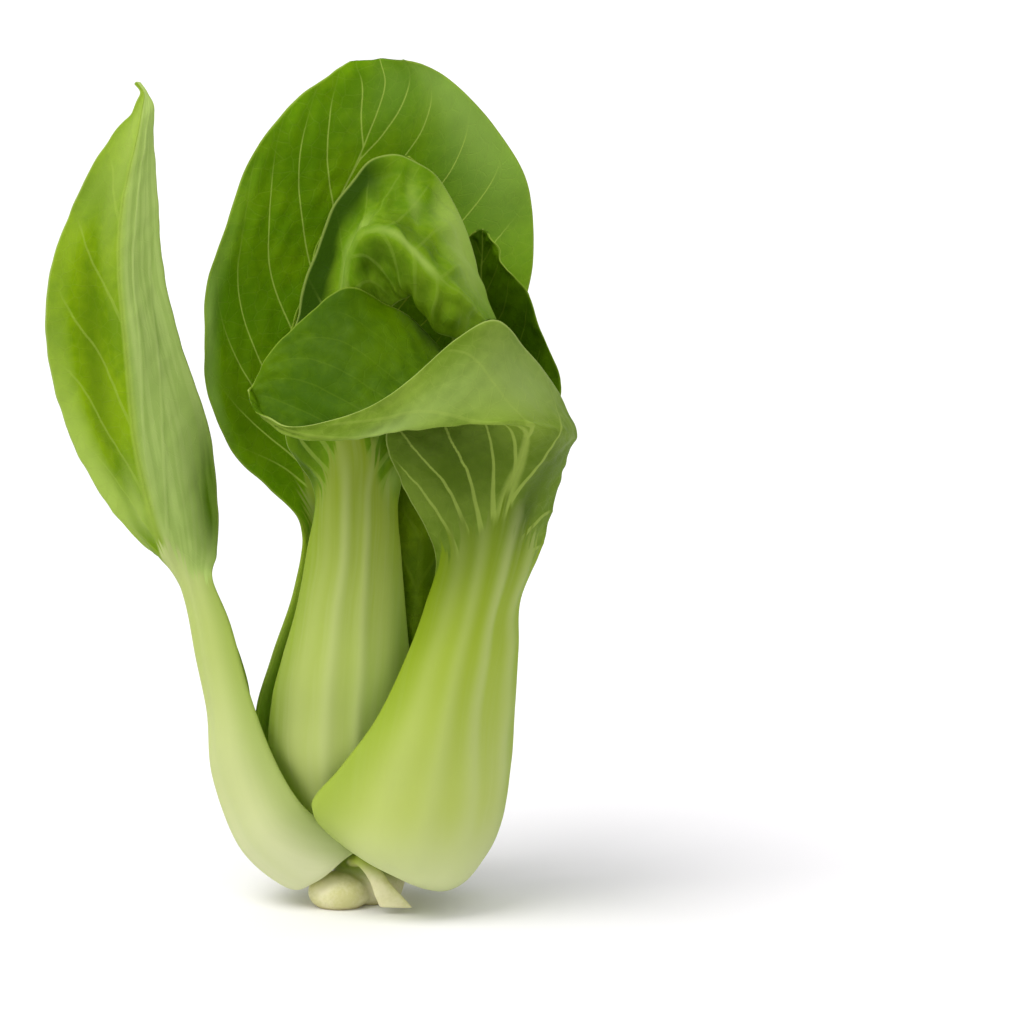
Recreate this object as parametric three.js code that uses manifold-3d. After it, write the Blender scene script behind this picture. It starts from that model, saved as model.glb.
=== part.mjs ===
// A head of bok choy standing on its cut stem.
// Nine leaves grow in a spiral round a short stem, each one piece from the
// fleshy white-green stalk up to the thin dark blade. Millimetres, +Z up, the
// origin at the middle of the cut face that the head stands on.
import * as THREE from 'three';
import { mergeVertices } from 'three/addons/utils/BufferGeometryUtils.js';
import Module from 'manifold-3d';

// Driving dimensions
const CROSSWISE_CELLS = 12; // cells from margin to margin of a leaf
const CELLS_PER_STATION = 2; // cells along a leaf between two stations
const RIB_CROWDING = 1.35; // above 1, the cells are closer together at the rib
const TOUCH_GAP = 0.3; // left between the stem and each leaf that grows from it
const STEP = 1e-3; // of a station, for the slopes of the surface
const SHORTEST_EDGE = 0.03; // shorter slivers left by a cut are smoothed away
const BELLY = 27 / 4; // so that u * u * (1 - |u|) reaches 1, two thirds of the way out

const STEM = {
  sides: 22,
  centre: [1, 1],
  // radius and height, from the cut face up between the leaf bases
  profile: [[6.6, 0], [7.6, 1.4], [8.4, 4], [8.6, 8], [8, 12], [5.6, 15.5], [3.4, 18.5], [1.6, 20]],
  lobe: { centre: [-5.8, -5.6, 3.4], radius: [7.4, 6.8, 4.9] }, // rounded knob at the front
  // stub of an old outer leaf, a tongue that widens as it droops to the right:
  // left edge, right edge and thickness from its root to its cut end
  stub: [
    [[-4.5, -5, 10], [1.5, -5, 12], 4],
    [[-2.8, -10.6, 11.6], [1.4, -10.6, 12.6], 2.8],
    [[-0.3, -12.6, 10.2], [4.2, -12.6, 10.2], 2.4],
    [[1.7, -13.6, 7.2], [6.8, -13.6, 6.9], 2.2],
    [[2.7, -14.2, 4.3], [9.6, -14.2, 4.0], 2],
    [[3.8, -14.6, 1.7], [12, -14.6, 1.4], 1.2],
  ],
};

// Each leaf is laid out by stations from its base to its tip. A station holds
// three points of the outer face: left margin, rib and right margin, left and
// right as seen from outside the head. `flesh` rows are: station, thickness at
// the rib, thickness at the margin, how narrow the rib is, how rounded the fold
// along the rib is, and how much of the rib stands out of the outer face.
// `wave` is: first waved station, height, number of waves, phase in turns.
// `belly` rows are: station, and how far the left and the right half sag inwards.
const LEAVES = {
  // outermost, left: upright, its blade folded lengthwise with the rib outwards
  leaf_left_upright: {
    colour: 0x8fb84a,
    stations: [
      [[-8, 8, 12.4], [-8.5, -5, 11], [-0.5, -10.4, 14.2]],
      [[-11, 11.3, 10.4], [-12, -8.5, 6.4], [-2.8, -13, 15.2]],
      [[-15, 14.5, 10.8], [-18, -8, 5.2], [-7.2, -14.9, 19.9]],
      [[-21, 18, 17], [-29, -6, 14.5], [-14.5, -18.6, 27]],
      [[-27.5, 16, 34], [-35.2, -5, 31], [-20.8, -17.6, 37.5]],
      [[-29, 10, 52], [-36.6, -6, 48], [-26.2, -15, 52]],
      [[-34, 4, 68], [-38.8, -7, 64], [-30.6, -12, 68]],
      [[-41.5, 0, 79], [-42, -8, 77], [-34.6, -10, 78.5]],
      [[-50, -2, 84], [-45.3, -10, 86], [-33.8, -6, 84]],
      [[-58.5, -4, 94], [-48, -13, 95], [-33.3, -7, 95]],
      [[-67.9, -6, 111], [-51.5, -16, 112], [-34.8, -8, 112]],
      [[-72.4, -6, 130], [-53, -17, 132], [-41, -9, 132]],
      [[-72, -5, 149.5], [-54.6, -16, 151], [-45, -9, 151]],
      [[-66.2, -5, 165.2], [-53.5, -14, 167], [-46.5, -9, 167]],
      [[-57.2, -6, 180.7], [-50.8, -12, 180], [-46.8, -7.5, 180.5]],
      [[-52.2, -7.5, 186.9], [-49.6, -9.3, 187], [-47.2, -8, 187.3]],
      [[-50.3, -8, 190.3], [-49.3, -8.4, 190.6], [-48.2, -8, 190.6]],
      [[-51.6, -8, 192.6], [-51, -8.1, 193.2], [-50, -8, 193]],
    ],
    flesh: [
      [0, 1.6, 1.2, 1, 3, 0], [1, 2, 1.2, 1, 3, 0], [2, 3.4, 1.8, 1, 3, 0], [4, 6, 2.2, 1, 3, 0],
      [5.5, 4, 1.5, 1, 3, 0], [7, 3, 1.1, 1.5, 1.6, 0.2], [9, 2.6, 0.8, 12, 0.4, 0.8],
      [12, 2, 0.8, 14, 0.3, 0.9], [14, 1.4, 0.8, 12, 0.5, 0.9], [15.5, 0.9, 0.7, 10, 1.5, 0.9],
      [17, 0.7, 0.7, 10, 3, 0.9],
    ],
    wave: [8, 0.35, 4, 0.3],
    belly: [[8, 0, 0], [10, 2, 0.6], [12, 2, 0.6], [14, 0.5, 0], [16, 0, 0]],
  },
  // outermost, right: its blade flops over and to the left, folded like a boat
  leaf_right_folded: {
    colour: 0x86ac4a,
    stations: [
      [[-0.5, -11.5, 14.3], [8, -8, 9.5], [9, 7, 12]],
      [[-7.6, -18, 19.5], [14, -18, 6.8], [20.5, 12, 8]],
      [[-12, -22, 27.5], [18.5, -25, 12], [31.6, 9, 17]],
      [[-5, -24, 37], [21, -28, 29], [34.8, 3, 33]],
      [[3, -24, 48], [23, -29, 45], [35.8, -3, 48]],
      [[9.5, -22, 61], [25, -28, 60], [36.6, -8, 62]],
      [[14.5, -20, 74], [28, -27, 74], [37, -12, 74]],
      [[17, -20, 86], [31, -27, 88.5], [41.8, -16, 86.5]],
      [[9.7, -22, 102], [33.6, -32, 101.5], [45.2, -20, 100]],
      [[6, -24, 113], [37.1, -40, 111.5], [47.8, -27, 110]],
      [[9.5, -20, 121], [38.1, -47, 118.1], [49.5, -29.5, 114.9]],
      [[14.2, -16, 127.7], [34.8, -50.5, 120.2], [47.3, -28.7, 121.1]],
      [[17.3, -15.2, 133.6], [30.7, -53.4, 120.2], [40.8, -32.3, 130.7]],
      [[13, -21.7, 138.7], [21.3, -52, 119.5], [32.2, -43.6, 141.8]],
      [[6.4, -24, 143.7], [11.8, -50, 118.4], [22.8, -47, 138.3]],
      [[-1.7, -27, 147.6], [1.7, -47, 116.8], [12, -49, 129]],
      [[-10, -28, 142.8], [-7, -44, 116], [3, -48, 123]],
      [[-18.6, -30, 134.4], [-15, -41, 116.5], [-8, -45, 119]],
      [[-23.2, -32, 126.8], [-20.5, -38, 118.8], [-16, -41.5, 118]],
      [[-24.5, -36, 125.5], [-24, -36.5, 123], [-22.5, -38, 120.5]],
    ],
    flesh: [
      [0, 4.5, 3, 1, 3, 0], [1, 6, 3, 1, 3, 0], [3, 7.5, 2.2, 1, 3, 0], [5, 6, 1.6, 1, 3, 0],
      [6, 5, 1.2, 1.5, 2, 0.2], [8, 3, 0.8, 12, 1, 0.8], [10, 1.8, 0.8, 12, 0.85, 0.8],
      [11.5, 1.5, 0.8, 12, 0.5, 1], [13, 1.3, 0.8, 12, 0.3, 1], [17, 1.1, 0.8, 12, 0.3, 1],
      [19, 0.8, 0.7, 10, 0.4, 1],
    ],
    wave: [9, 0.4, 5, 0.1],
  },
  // second layer, back left: the tallest, a broad round blade facing forwards
  leaf_back_tall: {
    colour: 0x4c7a12,
    stations: [
      [[5, 9, 14], [-3, 10, 11], [-7, 5, 16]],
      [[11, 20, 12], [-5, 24, 7], [-16, 8.5, 18]],
      [[14, 25, 22], [-8, 31, 18], [-23, 9, 26]],
      [[13, 26, 40], [-9, 31, 38], [-26.5, 7, 42]],
      [[8, 22, 58], [-9, 27, 57], [-22.5, 7, 57]],
      [[2, 17.5, 75], [-9, 22, 74], [-17, 7, 73]],
      [[-2, 14, 90], [-10.5, 17, 89], [-15, 7.5, 88]],
      [[6, 18, 99], [-11, 17, 100], [-22.6, 9, 97]],
      [[20, 23, 110], [-13, 17.5, 111], [-30.8, 10, 105]],
      [[31, 26, 125], [-15, 18, 124], [-36.2, 10, 117.5]],
      [[38, 28, 140], [-14.5, 19, 137], [-37.8, 10, 131]],
      [[40, 29, 155], [-12, 20, 150], [-36.2, 11, 147]],
      [[38, 28, 169], [-7, 20, 163], [-31, 12, 163]],
      [[31, 25, 181], [-2, 19, 173], [-24.6, 12, 177.8]],
      [[22.6, 20, 190.6], [2, 17, 182.5], [-15.6, 12, 188.2]],
      [[15, 16, 196], [5, 15, 191.5], [-7.5, 12, 194.4]],
      [[10.5, 12.5, 197.4], [4, 13, 197.7], [-3, 12.3, 197.2]],
    ],
    flesh: [
      [0, 4.5, 3, 1, 3, 0], [1, 6, 3, 1, 3, 0], [3, 7, 2.2, 1, 3, 0], [5, 5, 1.6, 1, 3, 0],
      [6, 4, 1.2, 1.5, 2, 0.2], [8, 3, 0.8, 12, 1, 0.8], [12, 2, 0.8, 14, 1, 0.8],
      [16, 0.8, 0.7, 10, 1, 0.8],
    ],
    wave: [8, 0.6, 5, 0.7],
  },
  // second layer, front: a ribbed stalk, and a blade crumpled into a hood
  leaf_front_hooded: {
    colour: 0x9fbe5a,
    stations: [
      [[-6, -4, 18.5], [-2, -7.5, 17], [3.5, -5, 18.5]],
      [[-15, -6, 24.8], [-5, -14, 22], [8, -10, 24]],
      [[-22, -9, 37], [-6, -19, 34], [11, -11, 37]],
      [[-21.5, -11, 50], [-5.5, -21, 48], [12, -12, 50]],
      [[-19, -12, 60], [-4.5, -21, 60], [11.5, -12, 60]],
      [[-15.5, -12, 72], [-3.5, -20, 72], [10.5, -12, 72]],
      [[-13, -12, 85], [-2, -19.5, 85], [9.5, -12, 85]],
      [[-11, -12, 99], [-1.5, -19, 99], [8.8, -12, 98]],
      [[-17, -12, 110], [-1.5, -19, 109], [13, -10, 110]],
      [[-18.5, -9, 123], [-4, -20, 122], [19, -8, 122]],
      [[-15.8, -6, 136], [-3.6, -22, 136], [14, -10, 134]],
      [[-13.6, -5.5, 145.5], [-1.8, -23.5, 144.5], [8, -16, 139]],
      [[-10.3, -5, 155.8], [-1.6, -24.5, 152.5], [6.5, -19, 141.5]],
      [[-5.4, -5, 166.2], [1.4, -26, 159.4], [8.2, -21, 143.2]],
      [[1, -5, 174.2], [7.3, -27, 159.9], [10.5, -22.5, 144.8]],
      [[8.6, -5, 176.6], [12.1, -27.5, 156.2], [13, -24, 145.2]],
      [[15.6, -5, 173], [16.2, -28, 152.3], [14.6, -25, 141.5]],
      [[21.8, -6, 165.5], [20, -28, 148.6], [17.2, -26, 138]],
      [[26.5, -7.5, 152], [23.8, -26.5, 145.4], [21.5, -27, 136]],
      [[31.2, -11, 139], [28.5, -21, 139.5], [26, -25, 135]],
    ],
    flesh: [
      [0, 2.2, 1.6, 1, 3, 0], [1, 4, 1.8, 1, 3, 0], [3, 6, 1.8, 1, 3, 0], [6, 5, 1.2, 1, 3, 0],
      [7, 4.5, 1, 1.5, 3, 0.2], [9, 3, 0.8, 12, 1, 0.8], [12, 2, 0.8, 14, 0.4, 1],
      [19, 0.8, 0.7, 10, 0.4, 1],
    ],
    wave: [9, 0.3, 6, 0.5],
    belly: [
      [9, 0, 0], [10, 3, 0], [11, 5, 0], [13, 5.5, -1.5], [14, 4, -2], [15, 2, -2], [17, 1, -1.5], [19, 0, 0],
    ],
  },
  // third layer, back right: dark, a little shorter, leaning outwards
  leaf_back_right: {
    colour: 0x3f6914,
    stations: [
      [[7.5, 1.5, 18], [7, 6, 16.5], [1.5, 6.5, 19]],
      [[14, 2, 22], [16.5, 14.5, 12], [3, 13, 20]],
      [[22, 3, 29], [24, 18, 20], [2, 17, 26]],
      [[25, 1, 42], [27, 17, 38], [3, 17, 39]],
      [[26, 0, 56], [28, 15, 55], [6, 16, 55]],
      [[27, 1, 70], [29, 13, 70], [11, 14, 70]],
      [[29, 3, 84], [29, 12, 85], [17, 12, 85]],
      [[35, 2, 92], [29, 13, 97], [12, 13, 94]],
      [[43, 1, 104], [30, 14, 110], [7, 13, 106]],
      [[46, 0, 118], [30, 15, 123], [6, 13.5, 120]],
      [[43, 0, 134], [29, 15, 137], [8, 14, 136]],
      [[36.5, 2, 146], [28, 13, 147], [15, 14, 148]],
      [[32, 6, 153], [28, 11, 154.5], [22, 12, 155]],
      [[29.5, 8.5, 157], [28, 9.5, 158.2], [26, 9.5, 157.6]],
    ],
    flesh: [
      [0, 1.8, 1.3, 1, 3, 0], [1, 2, 1.4, 1, 3, 0], [2, 2.6, 1.6, 1, 3, 0], [3, 4.6, 1.8, 1, 3, 0],
      [5, 4.4, 1.4, 1, 3, 0], [6, 3.4, 1.1, 1.5, 2, 0.2], [8, 2.6, 0.8, 12, 1, 0.8],
      [11, 2, 0.8, 14, 1, 0.8], [13, 0.8, 0.7, 10, 1, 0.8],
    ],
    wave: [7, 0.9, 4, 0.2],
  },
  // third layer, back left: a cupped blade behind the hooded one
  leaf_inner_cupped: {
    colour: 0x4f7c10,
    stations: [
      [[0, 7, 19], [-6, 5, 17], [-8, -1, 19]],
      [[-2, 13, 28], [-12, 10, 26], [-16, -1, 30]],
      [[-3, 15, 42], [-15, 12, 41], [-19, -3, 44]],
      [[-2, 13, 60], [-13, 11, 60], [-16, -3, 60]],
      [[0, 10, 80], [-9, 9, 80], [-12, -3, 80]],
      [[3, 8, 98], [-5, 8, 98], [-10, -3, 97]],
      [[13, 7, 112], [-2, 9, 114], [-15, -4, 110]],
      [[20, 6, 128], [1, 10, 130], [-18, -4, 124]],
      [[23, 6, 143], [3, 10, 145], [-16, -3, 137]],
      [[23, 6, 157], [5, 10, 159], [-12, -1, 150]],
      [[19, 6, 168], [7, 9, 169], [-6, 1, 165]],
      [[11, 6, 175.5], [7.5, 7, 175.5], [3, 3, 174]],
    ],
    flesh: [
      [0, 3.5, 2, 1, 3, 0], [1, 4, 2, 1, 3, 0], [3, 4.5, 1.5, 1, 3, 0], [4, 4, 1.2, 1, 3, 0],
      [5, 3.5, 1, 1.5, 2, 0.2], [7, 2.5, 0.8, 12, 1, 0.8], [10, 1.6, 0.8, 14, 1, 0.8],
      [11, 0.8, 0.7, 10, 1, 0.8],
    ],
    wave: [6, 0.5, 4, 0.9],
  },
  // inner layer, front: its blade starts low, between the two front stalks
  leaf_inner_front: {
    colour: 0x5d8a22,
    stations: [
      [[3, -3, 20.5], [5, -3.5, 19], [7, 0, 20.5]],
      [[2, -4, 32], [10, -6, 30], [14, 0, 32]],
      [[3, -5, 46], [12, -8, 45], [17, 0, 46]],
      [[3, -6, 60], [13, -9, 60], [21, -3, 60]],
      [[1, -6, 75], [13, -9.5, 75], [24, -4, 75]],
      [[1, -6, 89], [14, -9, 90], [24, -3, 89]],
      [[5, -4, 101], [14, -7, 102], [22, -3, 101]],
      [[11, -4, 108], [14, -4.5, 109], [17, -3, 108]],
    ],
    flesh: [
      [0, 0.9, 0.8, 1, 3, 0], [1, 1.7, 1, 1, 3, 0], [2, 2, 0.9, 3, 3, 0.3], [4, 1.8, 0.8, 12, 1, 0.8],
      [7, 0.8, 0.7, 10, 1, 0.8],
    ],
    wave: [3, 0.8, 3, 0.4],
  },
  // inner layer, back
  leaf_inner_back: {
    colour: 0x628f26,
    stations: [
      [[4, 2, 21.5], [3, 4, 20.5], [0, 3.5, 21.5]],
      [[8, 3, 34], [6, 9, 32], [0, 8, 34]],
      [[10, 3, 50], [8, 10, 49], [1, 7.5, 50]],
      [[12, 1, 66], [9, 8, 66], [1, 5, 66]],
      [[16, -1, 80], [10, 6, 82], [1, 3, 80]],
      [[18, -1, 94], [11, 4, 97], [0, 1, 93]],
      [[17, -2, 107], [10, 3, 110], [-1, -1, 106]],
      [[13, -2, 118], [9, 1, 121], [2, -1, 118]],
      [[9.5, -1.5, 126], [8, -1, 127.5], [6, -1.5, 126]],
    ],
    flesh: [
      [0, 0.9, 0.8, 1, 3, 0], [1, 1.8, 1, 1, 3, 0], [3, 2.2, 1, 1.5, 3, 0.2],
      [5, 1.8, 0.8, 12, 1.2, 0.8], [8, 0.8, 0.7, 10, 1, 0.8],
    ],
    wave: [4, 0.8, 3, 0.1],
  },
  // the youngest leaf, in the middle
  leaf_heart: {
    colour: 0x8cb342,
    stations: [
      [[-3, 1, 22], [-4, -1, 21], [-1, -3, 22]],
      [[-7, 3, 36], [-8, -2, 35], [-2, -6, 36]],
      [[-8, 4, 52], [-9, -2, 52], [-2, -7, 52]],
      [[-7, 3, 66], [-8, -2, 68], [-1, -7, 66]],
      [[-5, 2, 78], [-5.5, -2, 81], [-1, -5, 78]],
      [[-3.8, -0.4, 86.2], [-3, -1.2, 86.8], [-1.8, -2.2, 86.2]],
    ],
    flesh: [
      [0, 1, 0.8, 1, 3, 0], [1, 1.4, 0.9, 1, 3, 0], [3, 1.5, 0.8, 6, 1.2, 0.6],
      [5, 0.7, 0.7, 10, 3, 0.8],
    ],
    wave: [2, 0.5, 2, 0.6],
  },
};

const clamp = THREE.MathUtils.clamp;

// A point on the smooth curve through a row of [x, y, z] points, at place t.
function along(points, t) {
  const last = points.length - 1;
  const i = Math.min(Math.floor(t), last - 1);
  const f = t - i;
  const at = (k) => {
    if (k < 0) return new THREE.Vector3(...points[0]).multiplyScalar(2).sub(new THREE.Vector3(...points[1]));
    if (k > last) {
      return new THREE.Vector3(...points[last]).multiplyScalar(2)
        .sub(new THREE.Vector3(...points[last - 1]));
    }
    return new THREE.Vector3(...points[k]);
  };
  const [a, b, c, d] = [at(i - 1), at(i), at(i + 1), at(i + 2)];
  const curve = (p, q, r, s) =>
    0.5 * (2 * q + (r - p) * f + (2 * p - 5 * q + 4 * r - s) * f * f + (3 * q - p - 3 * r + s) * f ** 3);
  return new THREE.Vector3(
    curve(a.x, b.x, c.x, d.x),
    curve(a.y, b.y, c.y, d.y),
    curve(a.z, b.z, c.z, d.z),
  );
}

// Column `column` of rows that start with their place, read at place t.
function between(rows, t, column) {
  let k = 0;
  while (k < rows.length - 2 && rows[k + 1][0] < t) k += 1;
  const [from, to] = [rows[k], rows[k + 1]];
  const f = clamp((t - from[0]) / (to[0] - from[0]), 0, 1);
  return THREE.MathUtils.lerp(from[column], to[column], f);
}

// The outer face of a leaf: u runs from the left margin, -1, to the right, 1,
// and t counts stations from the base. The section is a rounded V through the
// station's three points.
function outerFace(leaf, u, t) {
  const left = along(leaf.stations.map((s) => s[0]), t);
  const rib = along(leaf.stations.map((s) => s[1]), t);
  const right = along(leaf.stations.map((s) => s[2]), t);
  const round = between(leaf.flesh, t, 4);
  const rise = (Math.hypot(u, round) - round) / (Math.hypot(1, round) - round);
  const across = right.clone().sub(left).multiplyScalar(u / 2);
  const fold = right.clone().add(left).multiplyScalar(0.5).sub(rib).multiplyScalar(rise);
  return rib.clone().add(across).add(fold);
}

// Points of the outer and the inner face, `grow` proud of the leaf all round.
function facePair(leaf, u, t, grow) {
  const last = leaf.stations.length - 1;
  const up = outerFace(leaf, u, Math.min(t + STEP, last)).sub(outerFace(leaf, u, Math.max(t - STEP, 0)));
  const side = outerFace(leaf, u + STEP, t).sub(outerFace(leaf, u - STEP, t));
  const inward = up.clone().cross(side).normalize();
  const [start, height, count, phase] = leaf.wave;
  const done = clamp((t - start) / (last - start), 0, 1);
  const turns = count * done + phase + (u > 0 ? 0.27 : 0);
  const fade = Math.min(1, 6 * done) * Math.min(1, 6 * (1 - done));
  const wave = height * u ** 4 * Math.sin(2 * Math.PI * turns) * fade;
  const margin = between(leaf.flesh, t, 2);
  const rib = (between(leaf.flesh, t, 1) - margin) * clamp(1 - u * u, 0, 1) ** between(leaf.flesh, t, 3);
  const proud = between(leaf.flesh, t, 5);
  const push = new THREE.Vector3();
  if (Math.abs(u) === 1) push.addScaledVector(side.normalize(), Math.sign(u) * grow);
  if (t === 0) push.addScaledVector(up.normalize(), -grow);
  const depth = leaf.belly ? between(leaf.belly, t, u < 0 ? 1 : 2) : 0;
  const sag = depth * BELLY * u * u * (1 - Math.abs(u));
  const middle = outerFace(leaf, u, t).addScaledVector(inward, wave + sag).add(push);
  return [
    middle.clone().addScaledVector(inward, -rib * proud - grow),
    middle.clone().addScaledVector(inward, margin + rib * (1 - proud) + grow),
  ];
}

// One closed body: the outer sheet, the inner sheet split alike, and the edge
// strip that joins them.
function leafGeometry(leaf, grow = 0) {
  const rows = (leaf.stations.length - 1) * CELLS_PER_STATION;
  const columns = CROSSWISE_CELLS;
  const sheets = [[], []];
  for (let i = 0; i <= rows; i += 1) {
    for (let j = 0; j <= columns; j += 1) {
      const v = (2 * j) / columns - 1;
      const pair = facePair(leaf, Math.sign(v) * Math.abs(v) ** RIB_CROWDING, i / CELLS_PER_STATION, grow);
      sheets[0].push(...pair[0].toArray());
      sheets[1].push(...pair[1].toArray());
    }
  }
  const inner = (rows + 1) * (columns + 1);
  const at = (i, j) => i * (columns + 1) + j;
  const index = [];
  for (let i = 0; i < rows; i += 1) {
    for (let j = 0; j < columns; j += 1) {
      const [a, b, c, d] = [at(i, j), at(i, j + 1), at(i + 1, j + 1), at(i + 1, j)];
      index.push(a, b, c, a, c, d);
      index.push(inner + a, inner + c, inner + b, inner + a, inner + d, inner + c);
    }
  }
  const edge = [];
  for (let j = 0; j < columns; j += 1) edge.push(at(0, j));
  for (let i = 0; i < rows; i += 1) edge.push(at(i, columns));
  for (let j = columns; j > 0; j -= 1) edge.push(at(rows, j));
  for (let i = rows; i > 0; i -= 1) edge.push(at(i, 0));
  edge.forEach((a, k) => {
    const b = edge[(k + 1) % edge.length];
    index.push(b, a, inner + a, b, inner + a, inner + b);
  });
  return geometry([...sheets[0], ...sheets[1]], index);
}

function geometry(positions, index) {
  const result = new THREE.BufferGeometry();
  result.setAttribute('position', new THREE.Float32BufferAttribute(positions, 3));
  result.setIndex(index);
  return result;
}

const wasm = await Module();
wasm.setup();

function toSolid(source) {
  const bare = source.clone();
  bare.deleteAttribute('normal');
  bare.deleteAttribute('uv');
  const merged = mergeVertices(bare);
  return new wasm.Manifold(new wasm.Mesh({
    numProp: 3,
    vertProperties: new Float32Array(merged.attributes.position.array),
    triVerts: new Uint32Array(merged.index.array),
  }));
}

function fromSolid(solid) {
  const { vertProperties, triVerts } = solid.getMesh();
  return geometry(Array.from(vertProperties), Array.from(triVerts));
}

// The stub of an old leaf: oval sections between its two edges.
function stubGeometry(rows) {
  const sides = 10;
  const steps = 12;
  const last = rows.length - 1;
  const middles = rows.map(([a, b]) => a.map((value, k) => (value + b[k]) / 2));
  const thickness = rows.map((row, k) => [k, row[2]]);
  const positions = [];
  const index = [];
  for (let i = 0; i <= steps; i += 1) {
    const t = (i / steps) * last;
    const left = along(rows.map((row) => row[0]), t);
    const right = along(rows.map((row) => row[1]), t);
    const run = along(middles, Math.min(t + 0.1, last)).sub(along(middles, Math.max(t - 0.1, 0)));
    const middle = left.clone().add(right).multiplyScalar(0.5);
    const broad = right.clone().sub(left).multiplyScalar(0.5);
    const front = run.cross(broad).normalize().multiplyScalar(between(thickness, t, 1) / 2);
    for (let k = 0; k < sides; k += 1) {
      const turn = (2 * Math.PI * k) / sides;
      positions.push(...middle.clone()
        .addScaledVector(broad, Math.cos(turn))
        .addScaledVector(front, Math.sin(turn))
        .toArray());
    }
  }
  for (let i = 0; i < steps; i += 1) {
    for (let k = 0; k < sides; k += 1) {
      const next = (k + 1) % sides;
      const [a, b] = [i * sides + k, i * sides + next];
      index.push(a, b, b + sides, a, b + sides, a + sides);
    }
  }
  const end = steps * sides;
  for (let k = 1; k < sides - 1; k += 1) {
    index.push(0, k + 1, k);
    index.push(end, end + k, end + k + 1);
  }
  return geometry(positions, index);
}

// The cut stem: a short cone with a rounded knob and the stub of an old leaf,
// cut off flat below and hollowed where each leaf grows from it.
function stemGeometry() {
  const { sides, centre, profile, lobe, stub } = STEM;
  const outline = [[0, profile[0][1]], ...profile, [0, profile.at(-1)[1]]].map((p) => new THREE.Vector2(...p));
  const core = new THREE.LatheGeometry(outline, sides);
  core.rotateX(Math.PI / 2).translate(centre[0], centre[1], 0);
  const knob = new THREE.SphereGeometry(1, sides, sides / 2);
  knob.scale(...lobe.radius).translate(...lobe.centre);
  const below = new THREE.BoxGeometry(60, 60, 20).translate(0, 0, -10);
  let solid = toSolid(core).add(toSolid(knob)).add(toSolid(stubGeometry(stub))).subtract(toSolid(below));
  for (const leaf of Object.values(LEAVES)) {
    solid = solid.subtract(toSolid(leafGeometry(leaf, TOUCH_GAP)));
  }
  const pieces = solid.decompose().sort((a, b) => b.volume() - a.volume());
  return fromSolid(pieces[0].simplify(SHORTEST_EDGE));
}

function meshOf(name, shape, colour, roughness) {
  const material = new THREE.MeshStandardMaterial({ color: colour, roughness, metalness: 0 });
  const mesh = new THREE.Mesh(shape, material);
  mesh.name = name;
  return mesh;
}

const head = new THREE.Group();
head.name = 'bok_choy';
head.add(meshOf('stem_butt', stemGeometry(), 0xd9d8a4, 0.6));
for (const [name, leaf] of Object.entries(LEAVES)) {
  head.add(meshOf(name, leafGeometry(leaf), leaf.colour, 0.4));
}

export default head;
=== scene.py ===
import math
import random
from types import SimpleNamespace
import bpy
import numpy as np
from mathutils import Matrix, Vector


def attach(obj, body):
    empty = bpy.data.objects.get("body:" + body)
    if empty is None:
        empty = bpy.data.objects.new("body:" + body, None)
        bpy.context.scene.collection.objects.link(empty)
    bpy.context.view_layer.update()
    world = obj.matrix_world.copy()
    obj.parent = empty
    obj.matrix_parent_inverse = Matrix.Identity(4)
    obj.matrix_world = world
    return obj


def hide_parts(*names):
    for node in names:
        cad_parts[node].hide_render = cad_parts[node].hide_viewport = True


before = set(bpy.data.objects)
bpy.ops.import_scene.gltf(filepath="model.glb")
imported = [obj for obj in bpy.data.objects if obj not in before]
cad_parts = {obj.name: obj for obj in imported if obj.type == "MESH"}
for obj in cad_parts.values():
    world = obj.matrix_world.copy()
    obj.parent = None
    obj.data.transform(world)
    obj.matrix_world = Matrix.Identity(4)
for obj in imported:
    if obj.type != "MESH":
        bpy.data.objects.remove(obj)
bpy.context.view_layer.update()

MM = 0.001  # the stations are in millimetres, Blender is in metres

# The camera looks a little down at the head through a long lens.
CAMERA_TILT = math.radians(8)  # below the horizon
CAMERA_DISTANCE = 1010  # mm, from the middle of the picture
CAMERA_LENS = 150  # mm
CAMERA_SENSOR = 36  # mm wide
PICTURE_MIDDLE = (34.8, 91.85)  # mm, right of and above the cut face

# How finely a leaf is laid out: cells from margin to margin, and between two stations
LARGE_CELLS = (96, 20)
INNER_CELLS = (64, 16)
RIB_CROWDING = 1.15  # above 1, the cells are closer together at the rib
STEP = 1e-3  # of a station, for the slopes of the surface
BLADE_EDGE = 0.45  # mm, thickness of a blade's margin
BELLY = 27 / 4  # so that u * u * (1 - |u|) reaches 1, two thirds of the way out

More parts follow.
